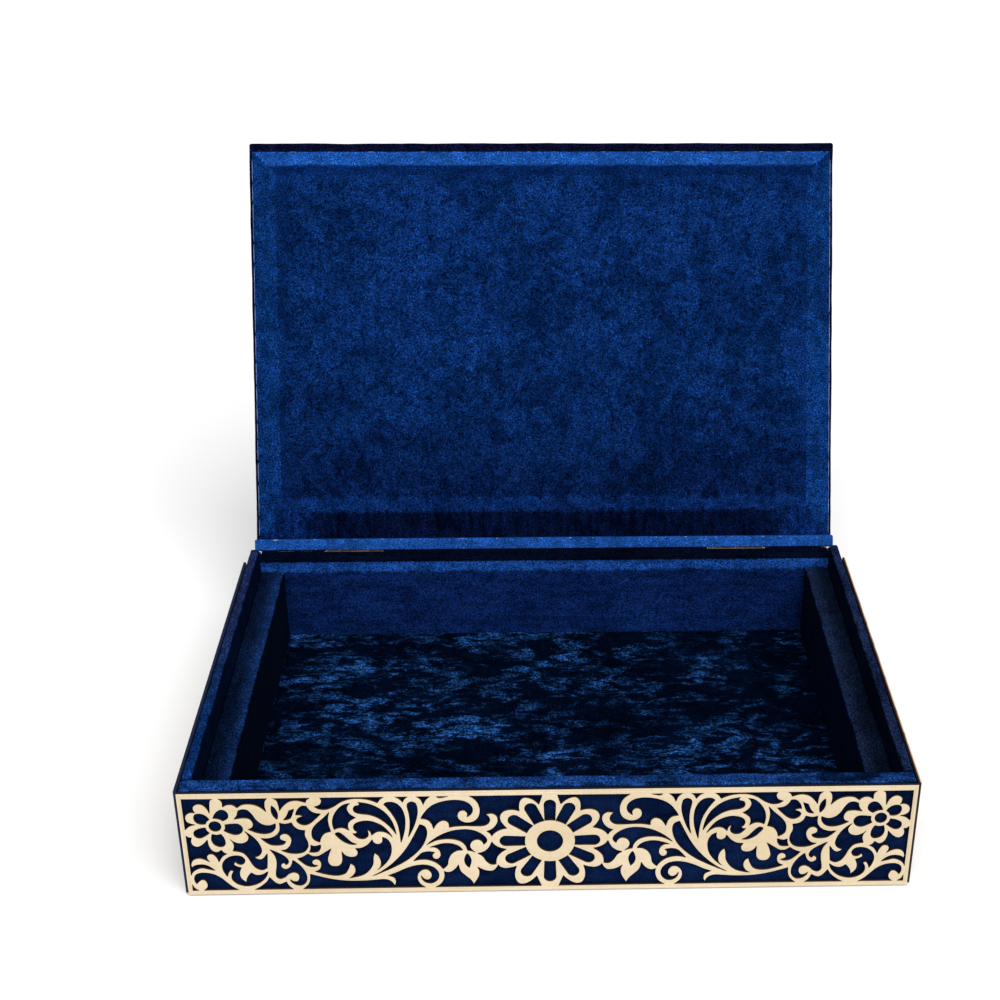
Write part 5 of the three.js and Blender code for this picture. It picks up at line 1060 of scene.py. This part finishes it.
def velvet(name, mean, k=1.0, var=0.45, edge=None, edge_w=0.4, top=None, lint=0.0, streak=(1, 1, 1), streak_f=0.3, cloud=0.4,
           speck_w=3.4, grain=1.15, sheen=0.012, rough=0.9, bump=0.5, ridges=0.0, crush=None, crush_w=0.8, painted_light_band=None, top_n=(0.62, 0.93), top_far=None, top_var=1.0, calm=1.0, highlight_band=None):
    """Velvet: cloudy pressed areas, nap streaks, a fine pile grain and sparse painted glints on pile tips; the options
    paint light and shade on tops, edges and bands.
    """
    t = Tree(name)
    big = t.noise(24.0, 3.0, 0.55, 0.4)
    mid = t.noise(140.0, 3.0, 0.6, 0.8)
    nap = t.noise(230.0, 3.0, 0.6, 0.3, vec=t.scaled(streak))
    fine = t.noise(1250.0, 2.0, 0.65, 0.0)
    tips = t.noise(1650.0, 1.0, 0.5, 0.0, vec=t.scaled((1, 1, 1), loc=(0.37, 0.11, 0.73)))
    f = t.math("MULTIPLY", big, cloud)
    f = t.math("MULTIPLY_ADD", mid, max(0.0, 1.0 - cloud - streak_f), f)
    f = t.math("MULTIPLY_ADD", nap, streak_f, f)
    f = t.ramp(f, 0.36, 0.64)

    def tone(rgb, s=1.0, vs=1.0):
        v = min(0.95, var * vs)
        a, b = lin(rgb, k * s * (1 - v)), lin(rgb, k * s * (1 + v))
        return t.mix(f, a, b)
    col = tone(mean)
    h = t.math("MULTIPLY_ADD", fine, 0.6, t.math("MULTIPLY", mid, 0.7))
    if painted_light_band is not None:
        # painted light and shade along one axis: a band of the piece in another tone, (axis, from, to, colour)
        ax, a, b, rgb = painted_light_band
        pos = t.math("ABSOLUTE", t.sep(t.obj)[0]) if ax == 0 else t.sep(t.obj)[ax]
        pos = t.math("MULTIPLY_ADD", t.math("SUBTRACT", mid, 0.5), 0.004, pos)
        col = t.mix(t.ramp(pos, a * MM, b * MM), col, tone(rgb))
    if top is not None:
        # upward faces painted in another tone: painted light on lit tops and rims, painted shade on tops under the lid;
        # top_far grades that tone along one axis
        z = t.ramp(t.sep(t.nrm)[2], top_n[0], top_n[1])
        upper = tone(top, 1.0, top_var)
        if top_far is not None:
            px = t.math("ABSOLUTE", t.sep(t.obj)[0]) if top_far[0] == 0 else t.sep(t.obj)[top_far[0]]
            px = t.math("MULTIPLY_ADD", t.math("SUBTRACT", mid, 0.5), 0.003, px)
            upper = t.mix(t.ramp(px, top_far[1] * MM, top_far[2] * MM), upper, tone(top_far[3]))
        col = t.mix(z, col, upper)
    if highlight_band is not None:
        # a painted highlight: a light line across the piece, (axis, from, full, full, to, colour)
        ax, a, b, c, d, rgb = highlight_band
        pos = t.math("MULTIPLY_ADD", t.math("SUBTRACT", mid, 0.5), 0.005, t.sep(t.obj)[ax])
        w = t.math("MULTIPLY", t.ramp(pos, a * MM, b * MM), t.ramp(pos, d * MM, c * MM))
        col = t.mix(w, col, tone(rgb))
    if crush:
        # pressed patches of pile, their light drawn as painted sheen: short light wisps of turned pile, more of them in
        # some places than in others
        where = t.ramp(t.noise(14.0, 3.0, 0.6, 0.6), 0.36, 0.56, 0.25, 1.0)
        wisp = t.ramp(t.noise(230.0, 5.0, 0.68, 0.7, vec=t.scaled((0.4, 1.0, 1.0), rot=(0, 0, 0.08))), 0.44, 0.64)
        patch = t.ramp(t.noise(55.0, 3.0, 0.6, 0.8, vec=t.scaled((0.7, 1.2, 1.0))), 0.42, 0.60)
        m = t.math("MULTIPLY", wisp, t.math("MULTIPLY", patch, where))
        m = t.math("MULTIPLY", m, t.ramp(t.noise(620.0, 3.0, 0.65, 0.3), 0.40, 0.58, 0.12, 1.3))
        col = t.mix(t.math("MULTIPLY", m, crush_w), col, tone(crush))
        h = t.math("MULTIPLY_ADD", m, 1.2, h)
    if edge is not None:
        # rounded edges painted lighter along broken stretches: a painted sheen highlight
        w = t.math("MULTIPLY", t.edge(), t.ramp(t.math("MULTIPLY_ADD", nap, 0.5, t.math("MULTIPLY", mid, 0.5)), 0.40, 0.60, 0.0, 1.0))
        col = t.mix(t.math("MULTIPLY", w, edge_w), col, tone(edge))
    g = t.ramp(fine, 0.30, 0.70, -grain, grain, smooth=False)
    # sparse light specks on the pile tips: painted glints
    s = t.math("MULTIPLY", t.ramp(tips, 0.61, 0.72), speck_w)
    g = t.math("ADD", g, t.math("MULTIPLY", s, t.ramp(f, 0.0, 1.0, 0.6, 1.0)))
    if calm < 1.0:
        # the grain and the painted glints on pile tips are fainter on upright faces than on the tops
        g = t.math("MULTIPLY", g, t.ramp(t.sep(t.nrm)[2], 0.3, 0.8, calm, 1.0))
    g = t.math("MAXIMUM", t.math("ADD", g, 0.94), 0.05)
    col = t.mix(1.0, col, t.grey(g), "MULTIPLY")
    if lint:
        v = t.voronoi(120.0)
        dot = t.ramp(v.outputs["Distance"], 0.05, 0.025)
        rr = t.sep(v.outputs["Color"])[0]
        dot = t.math("MULTIPLY", dot, t.ramp(rr, 1.0 - lint, 1.0 - lint + 0.004, smooth=False))
        col = t.mix(t.math("MULTIPLY", dot, 0.8), col, (0.45, 0.5, 0.62, 1))
    t.put(t.bsdf.inputs["Base Color"], col)
    t.put(t.bsdf.inputs["Roughness"], t.ramp(f, 0.0, 1.0, min(1.0, rough + 0.06), rough - 0.08))
    t.bsdf.inputs["Specular IOR Level"].default_value = 0.0
    t.bsdf.inputs["Sheen Weight"].default_value = sheen
    t.bsdf.inputs["Sheen Roughness"].default_value = 0.4
    t.bsdf.inputs["Sheen Tint"].default_value = (0.12, 0.3, 0.9, 1)
    if ridges:
        rg = t.noise(60.0, 4.0, 0.6, 1.4, vec=t.scaled((1, 1, 2.2)))
        h = t.math("MULTIPLY_ADD", rg, ridges, h)
    t.bump(h, bump, 0.0006)
    return t.mat


def gold(name, axis, face=(222, 205, 177), deep=(211, 192, 157), cut=(74, 50, 30), cut2=(112, 82, 54), rim=0.0, face_at=0.1106, edge_shade=(12, 13, 26), round_at=(0.93, 0.60)):
    t = Tree(name)
    a = t.noise(14.0, 2.0, 0.5, 0.5)
    b = t.noise(420.0, 3.0, 0.6)
    s = t.noise(900.0, 2.0, 0.5, 0.0, vec=t.scaled((1, 0.05, 0.05) if axis == "y" else (0.05, 1, 0.05)))
    f = t.math("MULTIPLY_ADD", a, 0.6, t.math("MULTIPLY_ADD", b, 0.25, t.math("MULTIPLY", s, 0.15)))
    col = t.mix(t.ramp(f, 0.35, 0.65), lin(face), lin(deep))
    x, y, z = t.sep(t.nrm)
    n = t.math("ABSOLUTE", {"x": x, "y": y, "z": z}[axis])
    w = t.ramp(n, round_at[0], round_at[1])
    w = t.math("MAXIMUM", w, t.ramp(t.math("ABSOLUTE", t.sep(t.obj)["xyz".index(axis)]), face_at - 0.0010, face_at - 0.0013))
    cut_edge_and_shade = t.mix(t.ramp(b, 0.3, 0.7), lin(cut), lin(cut2))
    # the cut edges keep their own dark brown, then are painted darker away from the face, painted shade inside the
    # openings, and dark along the plate's bare upper edge, painted shade under the rim
    far = t.math("ABSOLUTE", t.sep(t.obj)["xyz".index(axis)])
    cut_edge_and_shade = t.mix(t.ramp(far, face_at - 0.0003, face_at - 0.0008), cut_edge_and_shade, lin(edge_shade))
    if axis != "z":
        cut_edge_and_shade = t.mix(t.math("MULTIPLY", t.ramp(z, 0.7, 0.9), t.ramp(t.sep(t.obj)[2], 0.0549, 0.0551)), cut_edge_and_shade, lin(edge_shade))
    if rim:
        # a painted highlight: a thin light line along the bare upper edge's outer side
        px = t.math("ABSOLUTE", t.sep(t.obj)[0])
        e = t.math("MULTIPLY", t.ramp(z, 0.6, 0.9), t.ramp(px, 0.1593, 0.1597))
        e = t.math("MULTIPLY", e, t.ramp(t.noise(160.0, 3.0), 0.3, 0.5, 0.45, 1.0))
        cut_edge_and_shade = t.mix(t.math("MULTIPLY", e, rim), cut_edge_and_shade, lin((226, 178, 128)))
    col = t.mix(w, col, cut_edge_and_shade)
    t.put(t.bsdf.inputs["Base Color"], col)
    t.bsdf.inputs["Metallic"].default_value = 0.35
    t.put(t.bsdf.inputs["Roughness"], t.math("MAXIMUM", t.ramp(f, 0.3, 0.7, 0.28, 0.42), t.math("MULTIPLY", w, 0.8)))
    t.bsdf.inputs["Specular IOR Level"].default_value = 0.4
    t.bump(t.math("MULTIPLY_ADD", b, 0.5, s), 0.08, 0.0002)
    return t.mat


def brass(name, dull=(78, 62, 46), bright=(150, 124, 90), dark=(30, 24, 20)):
    t = Tree(name)
    a = t.noise(90.0, 4.0, 0.6, 0.5)
    b = t.noise(700.0, 3.0, 0.6, vec=t.scaled((0.08, 1, 1)))
    f = t.ramp(t.math("MULTIPLY_ADD", a, 0.7, t.math("MULTIPLY", b, 0.3)), 0.35, 0.65)
    col = t.mix(f, lin(dull), lin(bright))
    col = t.mix(t.ramp(t.noise(45.0, 5.0, 0.7, 0.3), 0.56, 0.72), col, lin(dark))
    t.put(t.bsdf.inputs["Base Color"], col)
    t.bsdf.inputs["Metallic"].default_value = 0.9
    t.put(t.bsdf.inputs["Roughness"], t.ramp(f, 0, 1, 0.5, 0.3))
    t.bump(t.math("MULTIPLY_ADD", a, 0.6, b), 0.15, 0.0003)
    return t.mat


def woodgrain(name, lo=(150, 112, 70), hi=(190, 152, 104)):
    t = Tree(name)
    a = t.noise(30.0, 4.0, 0.6, 1.2, vec=t.scaled((0.15, 1.0, 1.0)))
    b = t.noise(700.0, 3.0, 0.6, 0.0, vec=t.scaled((0.06, 1, 1)))
    f = t.ramp(t.math("MULTIPLY_ADD", a, 0.7, t.math("MULTIPLY", b, 0.3)), 0.36, 0.64)
    t.put(t.bsdf.inputs["Base Color"], t.mix(f, lin(lo), lin(hi)))
    t.bsdf.inputs["Roughness"].default_value = 0.75
    t.bump(b, 0.2, 0.0004)
    return t.mat


def felt(name):
    t = Tree(name)
    a = t.noise(60.0, 3.0, 0.6, 0.3)
    b = t.noise(1400.0, 3.0, 0.7)
    v = t.voronoi(900.0)
    f = t.ramp(t.math("MULTIPLY_ADD", a, 0.4, t.math("MULTIPLY", b, 0.6)), 0.35, 0.65)
    t.put(t.bsdf.inputs["Base Color"], t.mix(f, lin((14, 14, 22)), lin((38, 38, 54))))
    t.bsdf.inputs["Roughness"].default_value = 0.95
    t.bsdf.inputs["Sheen Weight"].default_value = 0.15
    t.bump(t.math("MULTIPLY_ADD", v.outputs["Distance"], 0.5, b), 0.5, 0.0004)
    return t.mat


# finish for the pale dashes: those along the seams, and the near-white painted glints
def thread(name, lo=(70, 92, 164), hi=(148, 166, 222)):
    t = Tree(name)
    b = t.noise(1500.0, 3.0, 0.6, vec=t.scaled((1, 0.4, 1)))
    a = t.noise(120.0, 3.0, 0.6)
    f = t.ramp(t.math("MULTIPLY_ADD", a, 0.6, t.math("MULTIPLY", b, 0.4)), 0.35, 0.6)
    t.put(t.bsdf.inputs["Base Color"], t.mix(f, lin(lo), lin(hi)))
    t.bsdf.inputs["Roughness"].default_value = 0.8
    t.bump(b, 0.4, 0.0002)
    return t.mat


M = {}
X_RUN, Y_RUN = (0.3, 1, 1), (1, 0.3, 1)
# The lining is one velvet; its bands' tones are painted light and shade: the front band, at the top of the open lid,
# painted light; the back band, at its foot, painted shade, lighter at its ends; the side bands a little lighter than
# the field. The field is painted darker towards its foot, with a painted highlight line near the back band, and the
# front band is darker along its inner edge.
M["centre"] = velvet("velvet_lid_field", (7, 34, 81), 0.9, var=0.5, cloud=0.3, streak_f=0.2, streak=Y_RUN, painted_light_band=(1, 5, 92, (5, 23, 60)), highlight_band=(1, 79.0, 83.0, 95.0, 99.0, (8, 34, 84)))
M["front_band"] = velvet("velvet_lid_front_band_painted_light", (21, 66, 136), 0.95, var=0.35, cloud=0.3, streak=X_RUN, grain=0.8, painted_light_band=(1, -99.1, -97.3, (5, 28, 72)))
M["back_band"] = velvet("velvet_lid_back_band_painted_shade", (4, 13, 40), 0.9, var=0.6, cloud=0.2, streak=(1.6, 0.25, 1), streak_f=0.5, painted_light_band=(0, 118, 140, (8, 34, 84)), highlight_band=(1, 80.0, 81.0, 87.2, 90.2, (8, 34, 82)))
M["side_band"] = velvet("velvet_lid_side_band_painted_light", (9, 42, 94), 0.9, cloud=0.3, streak=Y_RUN)
M["strip"] = velvet("velvet_turned_edge", (8, 11, 34), 0.9, cloud=0.2)
M["spine"] = velvet("velvet_spine", (23, 67, 137), 0.95, var=0.35, cloud=0.2, streak=X_RUN, grain=0.6)
# The velvet pieces are one cloth; the differences of tone between them below are painted light and shade, with painted
# light on tops and rims, and painted sheen highlights on rounded edges.
M["outer"] = velvet("velvet_outer", (10, 38, 90), 0.9, cloud=0.45, streak_f=0.15, edge=(30, 78, 150), edge_w=0.4)
M["front_wall"] = velvet("velvet_front_wall", (10, 25, 58), 0.9, top=(18, 50, 103), edge=(34, 78, 146), streak=X_RUN, top_var=1.9, calm=0.3)
M["left_wall"] = velvet("velvet_left_wall", (5, 16, 40), 0.9, top=(12, 44, 94), top_far=(1, -70, 40, (27, 38, 74)), edge=(24, 60, 128), streak=Y_RUN, calm=0.4)
M["right_wall"] = velvet("velvet_right_wall", (6, 13, 27), 0.9, top=(21, 31, 58), edge=(36, 50, 98), streak=Y_RUN, lint=0.05, calm=0.4)
# back wall: its upward top painted dark, painted shade under the lid; a light band along the upper edge of its inner
# face, a painted highlight
M["back_wall"] = velvet("velvet_back_wall", (10, 32, 79), 1.1, top=(3, 7, 22), top_n=(0.0, 0.3), painted_light_band=(2, 41.6, 44.0, (23, 66, 138)), streak=(0.2, 1, 1), streak_f=0.4, cloud=0.25, ridges=0.6, speck_w=0.5)
LEDGE = dict(edge=(28, 60, 122), streak=Y_RUN, lint=0.05, edge_w=0.3, calm=0.5)
# ledge tops painted darker towards the side walls: painted shade
M["ledge_right"] = velvet("velvet_right_ledge", (4, 11, 28), 0.9, top=(20, 31, 55), top_far=(0, 141.5, 149, (10, 19, 36)), **LEDGE)
M["ledge_left"] = velvet("velvet_left_ledge", (3, 8, 20), 0.9, top=(17, 40, 84), top_far=(0, 141.5, 149, (8, 19, 42)), **LEDGE)
M["floor"] = velvet("velvet_floor", (2, 9, 27), 0.8, crush=(40, 94, 168), crush_w=1.0, streak_f=0.15, lint=0.03, ridges=0.8, speck_w=0.6)
M["gold_y"] = gold("gold_face_front", "y")
# left plate: its cut edges and bevels painted dark navy, painted shade along that side
M["gold_left"] = gold("gold_face_left", "x", cut=(16, 24, 48), cut2=(24, 38, 76), face_at=0.160, edge_shade=(10, 26, 58), round_at=(0.998, 0.93))
# right plate: darker cut edges, and a painted highlight along its upper edge
M["gold_x"] = gold("gold_face_side", "x", cut=(24, 22, 36), cut2=(58, 42, 40), rim=1.0, face_at=0.160)
M["gold_z"] = gold("gold_face_lid", "z", face_at=0.0669)
M["brass"] = brass("dull_brass")
M["wood"] = woodgrain("plain_board")
M["felt"] = felt("dark_felt")
M["thread"] = thread("seam_thread")
# painted glint finish, near-white
M["glint"] = thread("edge_thread", (170, 180, 215), (240, 242, 250))


def dress(o, mats, body, nodes=()):
    which = [min(p.material_index, len(mats) - 1) for p in o.data.polygons]
    o.data.materials.clear()
    for m in mats:
        o.data.materials.append(m)
    for p, i in zip(o.data.polygons, which):
        p.material_index = i
    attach(o, body)
    if nodes:
        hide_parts(*nodes)


dress(front_plate, [M["gold_y"]], "box", ["front_fret_panel"])
dress(right_plate, [M["gold_x"]], "box", ["right_fret_panel"])
dress(left_plate, [M["gold_left"]], "box", ["left_fret_panel"])
for k in ("front", "left", "right", "back"):
    dress(walls[k], [M[k + "_wall"]], "box", [k + "_wall_cover"])
for k in ("left", "right"):
    dress(ledges[k], [M["ledge_" + k]], "box", [k + "_ledge_cover"])
dress(floor, [M["floor"]], "box", ["floor_pad"])

for p in lid_cover.data.polygons:
    c = p.center / MM
    if c.z < LID_Z0 - 0.9 and c.y > SPINE_Y0 - 1 and p.normal.y < 0.7:
        p.material_index = 1
    elif c.z < LID_Z0 + 1.6 and p.normal.z < -0.2:
        p.material_index = 2
    else:
        p.material_index = 0
lid_cover.matrix_world = PIVOT
dress(lid_cover, [M["outer"], M["spine"], M["strip"]], "lid", ["lid_velvet_cover"])
lining.matrix_world = PIVOT
dress(lining, [M["centre"], M["front_band"], M["back_band"], M["side_band"], M["side_band"]], "lid", ["lid_lining_pad"])
medallion.matrix_world = PIVOT
dress(medallion, [M["gold_z"]], "lid", ["lid_medallion"])
# the gap cord: painted shade, dressed in the dark turned-edge velvet
gap_shade_cord.matrix_world = PIVOT
dress(gap_shade_cord, [M["strip"]], "lid")

for o in seams + glints:
    o.matrix_world = PIVOT
    dress(o, [M["glint"] if o in glints else M["thread"]], "lid")

for o, body, node in hinge_bits:
    if body == "lid":
        o.matrix_world = PIVOT
    dress(o, [M["brass"]], body, [node])

for name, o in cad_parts.items():
    if name.endswith("_board") or name.endswith("_core"):
        m = M["wood"]
    elif name == "base_felt":
        m = M["felt"]
    elif "hinge" in name or "screw" in name:
        m = M["brass"]
    else:
        continue
    for i in range(len(o.material_slots)):
        o.material_slots[i].material = m

# ------------------------------------------------------------------ stage, light, camera
bm = bmesh.new()
bmesh.ops.create_grid(bm, x_segments=4, y_segments=4, size=7.0)
sm = bpy.data.meshes.new("stage_floor")
bm.to_mesh(sm)
bm.free()
stage = link("stage_floor", sm)
stage.location = (0, 2.0, -0.0002)
t = Tree("pale_floor")
t.put(t.bsdf.inputs["Base Color"], t.mix(t.ramp(t.noise(3.0, 2.0), 0.3, 0.7), (0.92, 0.92, 0.92, 1), (0.94, 0.94, 0.94, 1)))
t.bsdf.inputs["Roughness"].default_value = 0.9
stage.data.materials.append(t.mat)

w = bpy.data.worlds.new("studio")
scene.world = w
w.use_nodes = True
w.node_tree.nodes["Background"].inputs[0].default_value = (1, 1, 1, 1)
w.node_tree.nodes["Background"].inputs[1].default_value = 0.5

sd = bpy.data.lights.new("key", "SUN")
sd.energy = 2.8
sd.angle = math.radians(58)
so = bpy.data.objects.new("key", sd)
scene.collection.objects.link(so)
so.location = (0.6, -1.2, 1.8)
so.rotation_euler = (-Vector((0.17, -0.58, 0.79))).to_track_quat("-Z", "Y").to_euler()

cam = bpy.data.cameras.new("camera")
co = bpy.data.objects.new("camera", cam)
scene.collection.objects.link(co)
scene.camera = co
yaw, pitch, roll = math.radians(1.985), math.radians(28.201), math.radians(0.49)
fwd = Vector((math.sin(yaw) * math.cos(pitch), math.cos(yaw) * math.cos(pitch), -math.sin(pitch)))
right = Vector((math.cos(yaw), -math.sin(yaw), 0.0))
up = right.cross(fwd)
r2 = math.cos(roll) * right + math.sin(roll) * up
u2 = -math.sin(roll) * right + math.cos(roll) * up
mw = Matrix(((r2.x, u2.x, -fwd.x, -0.004535), (r2.y, u2.y, -fwd.y, -0.684287), (r2.z, u2.z, -fwd.z, 0.488319), (0, 0, 0, 1)))
co.matrix_world = mw
cam.sensor_width = 36.0
cam.sensor_fit = "HORIZONTAL"
cam.lens = 59.978
cam.shift_x, cam.shift_y = -0.08798, 0.03024
cam.clip_end = 50
scene.view_settings.view_transform = "Standard"
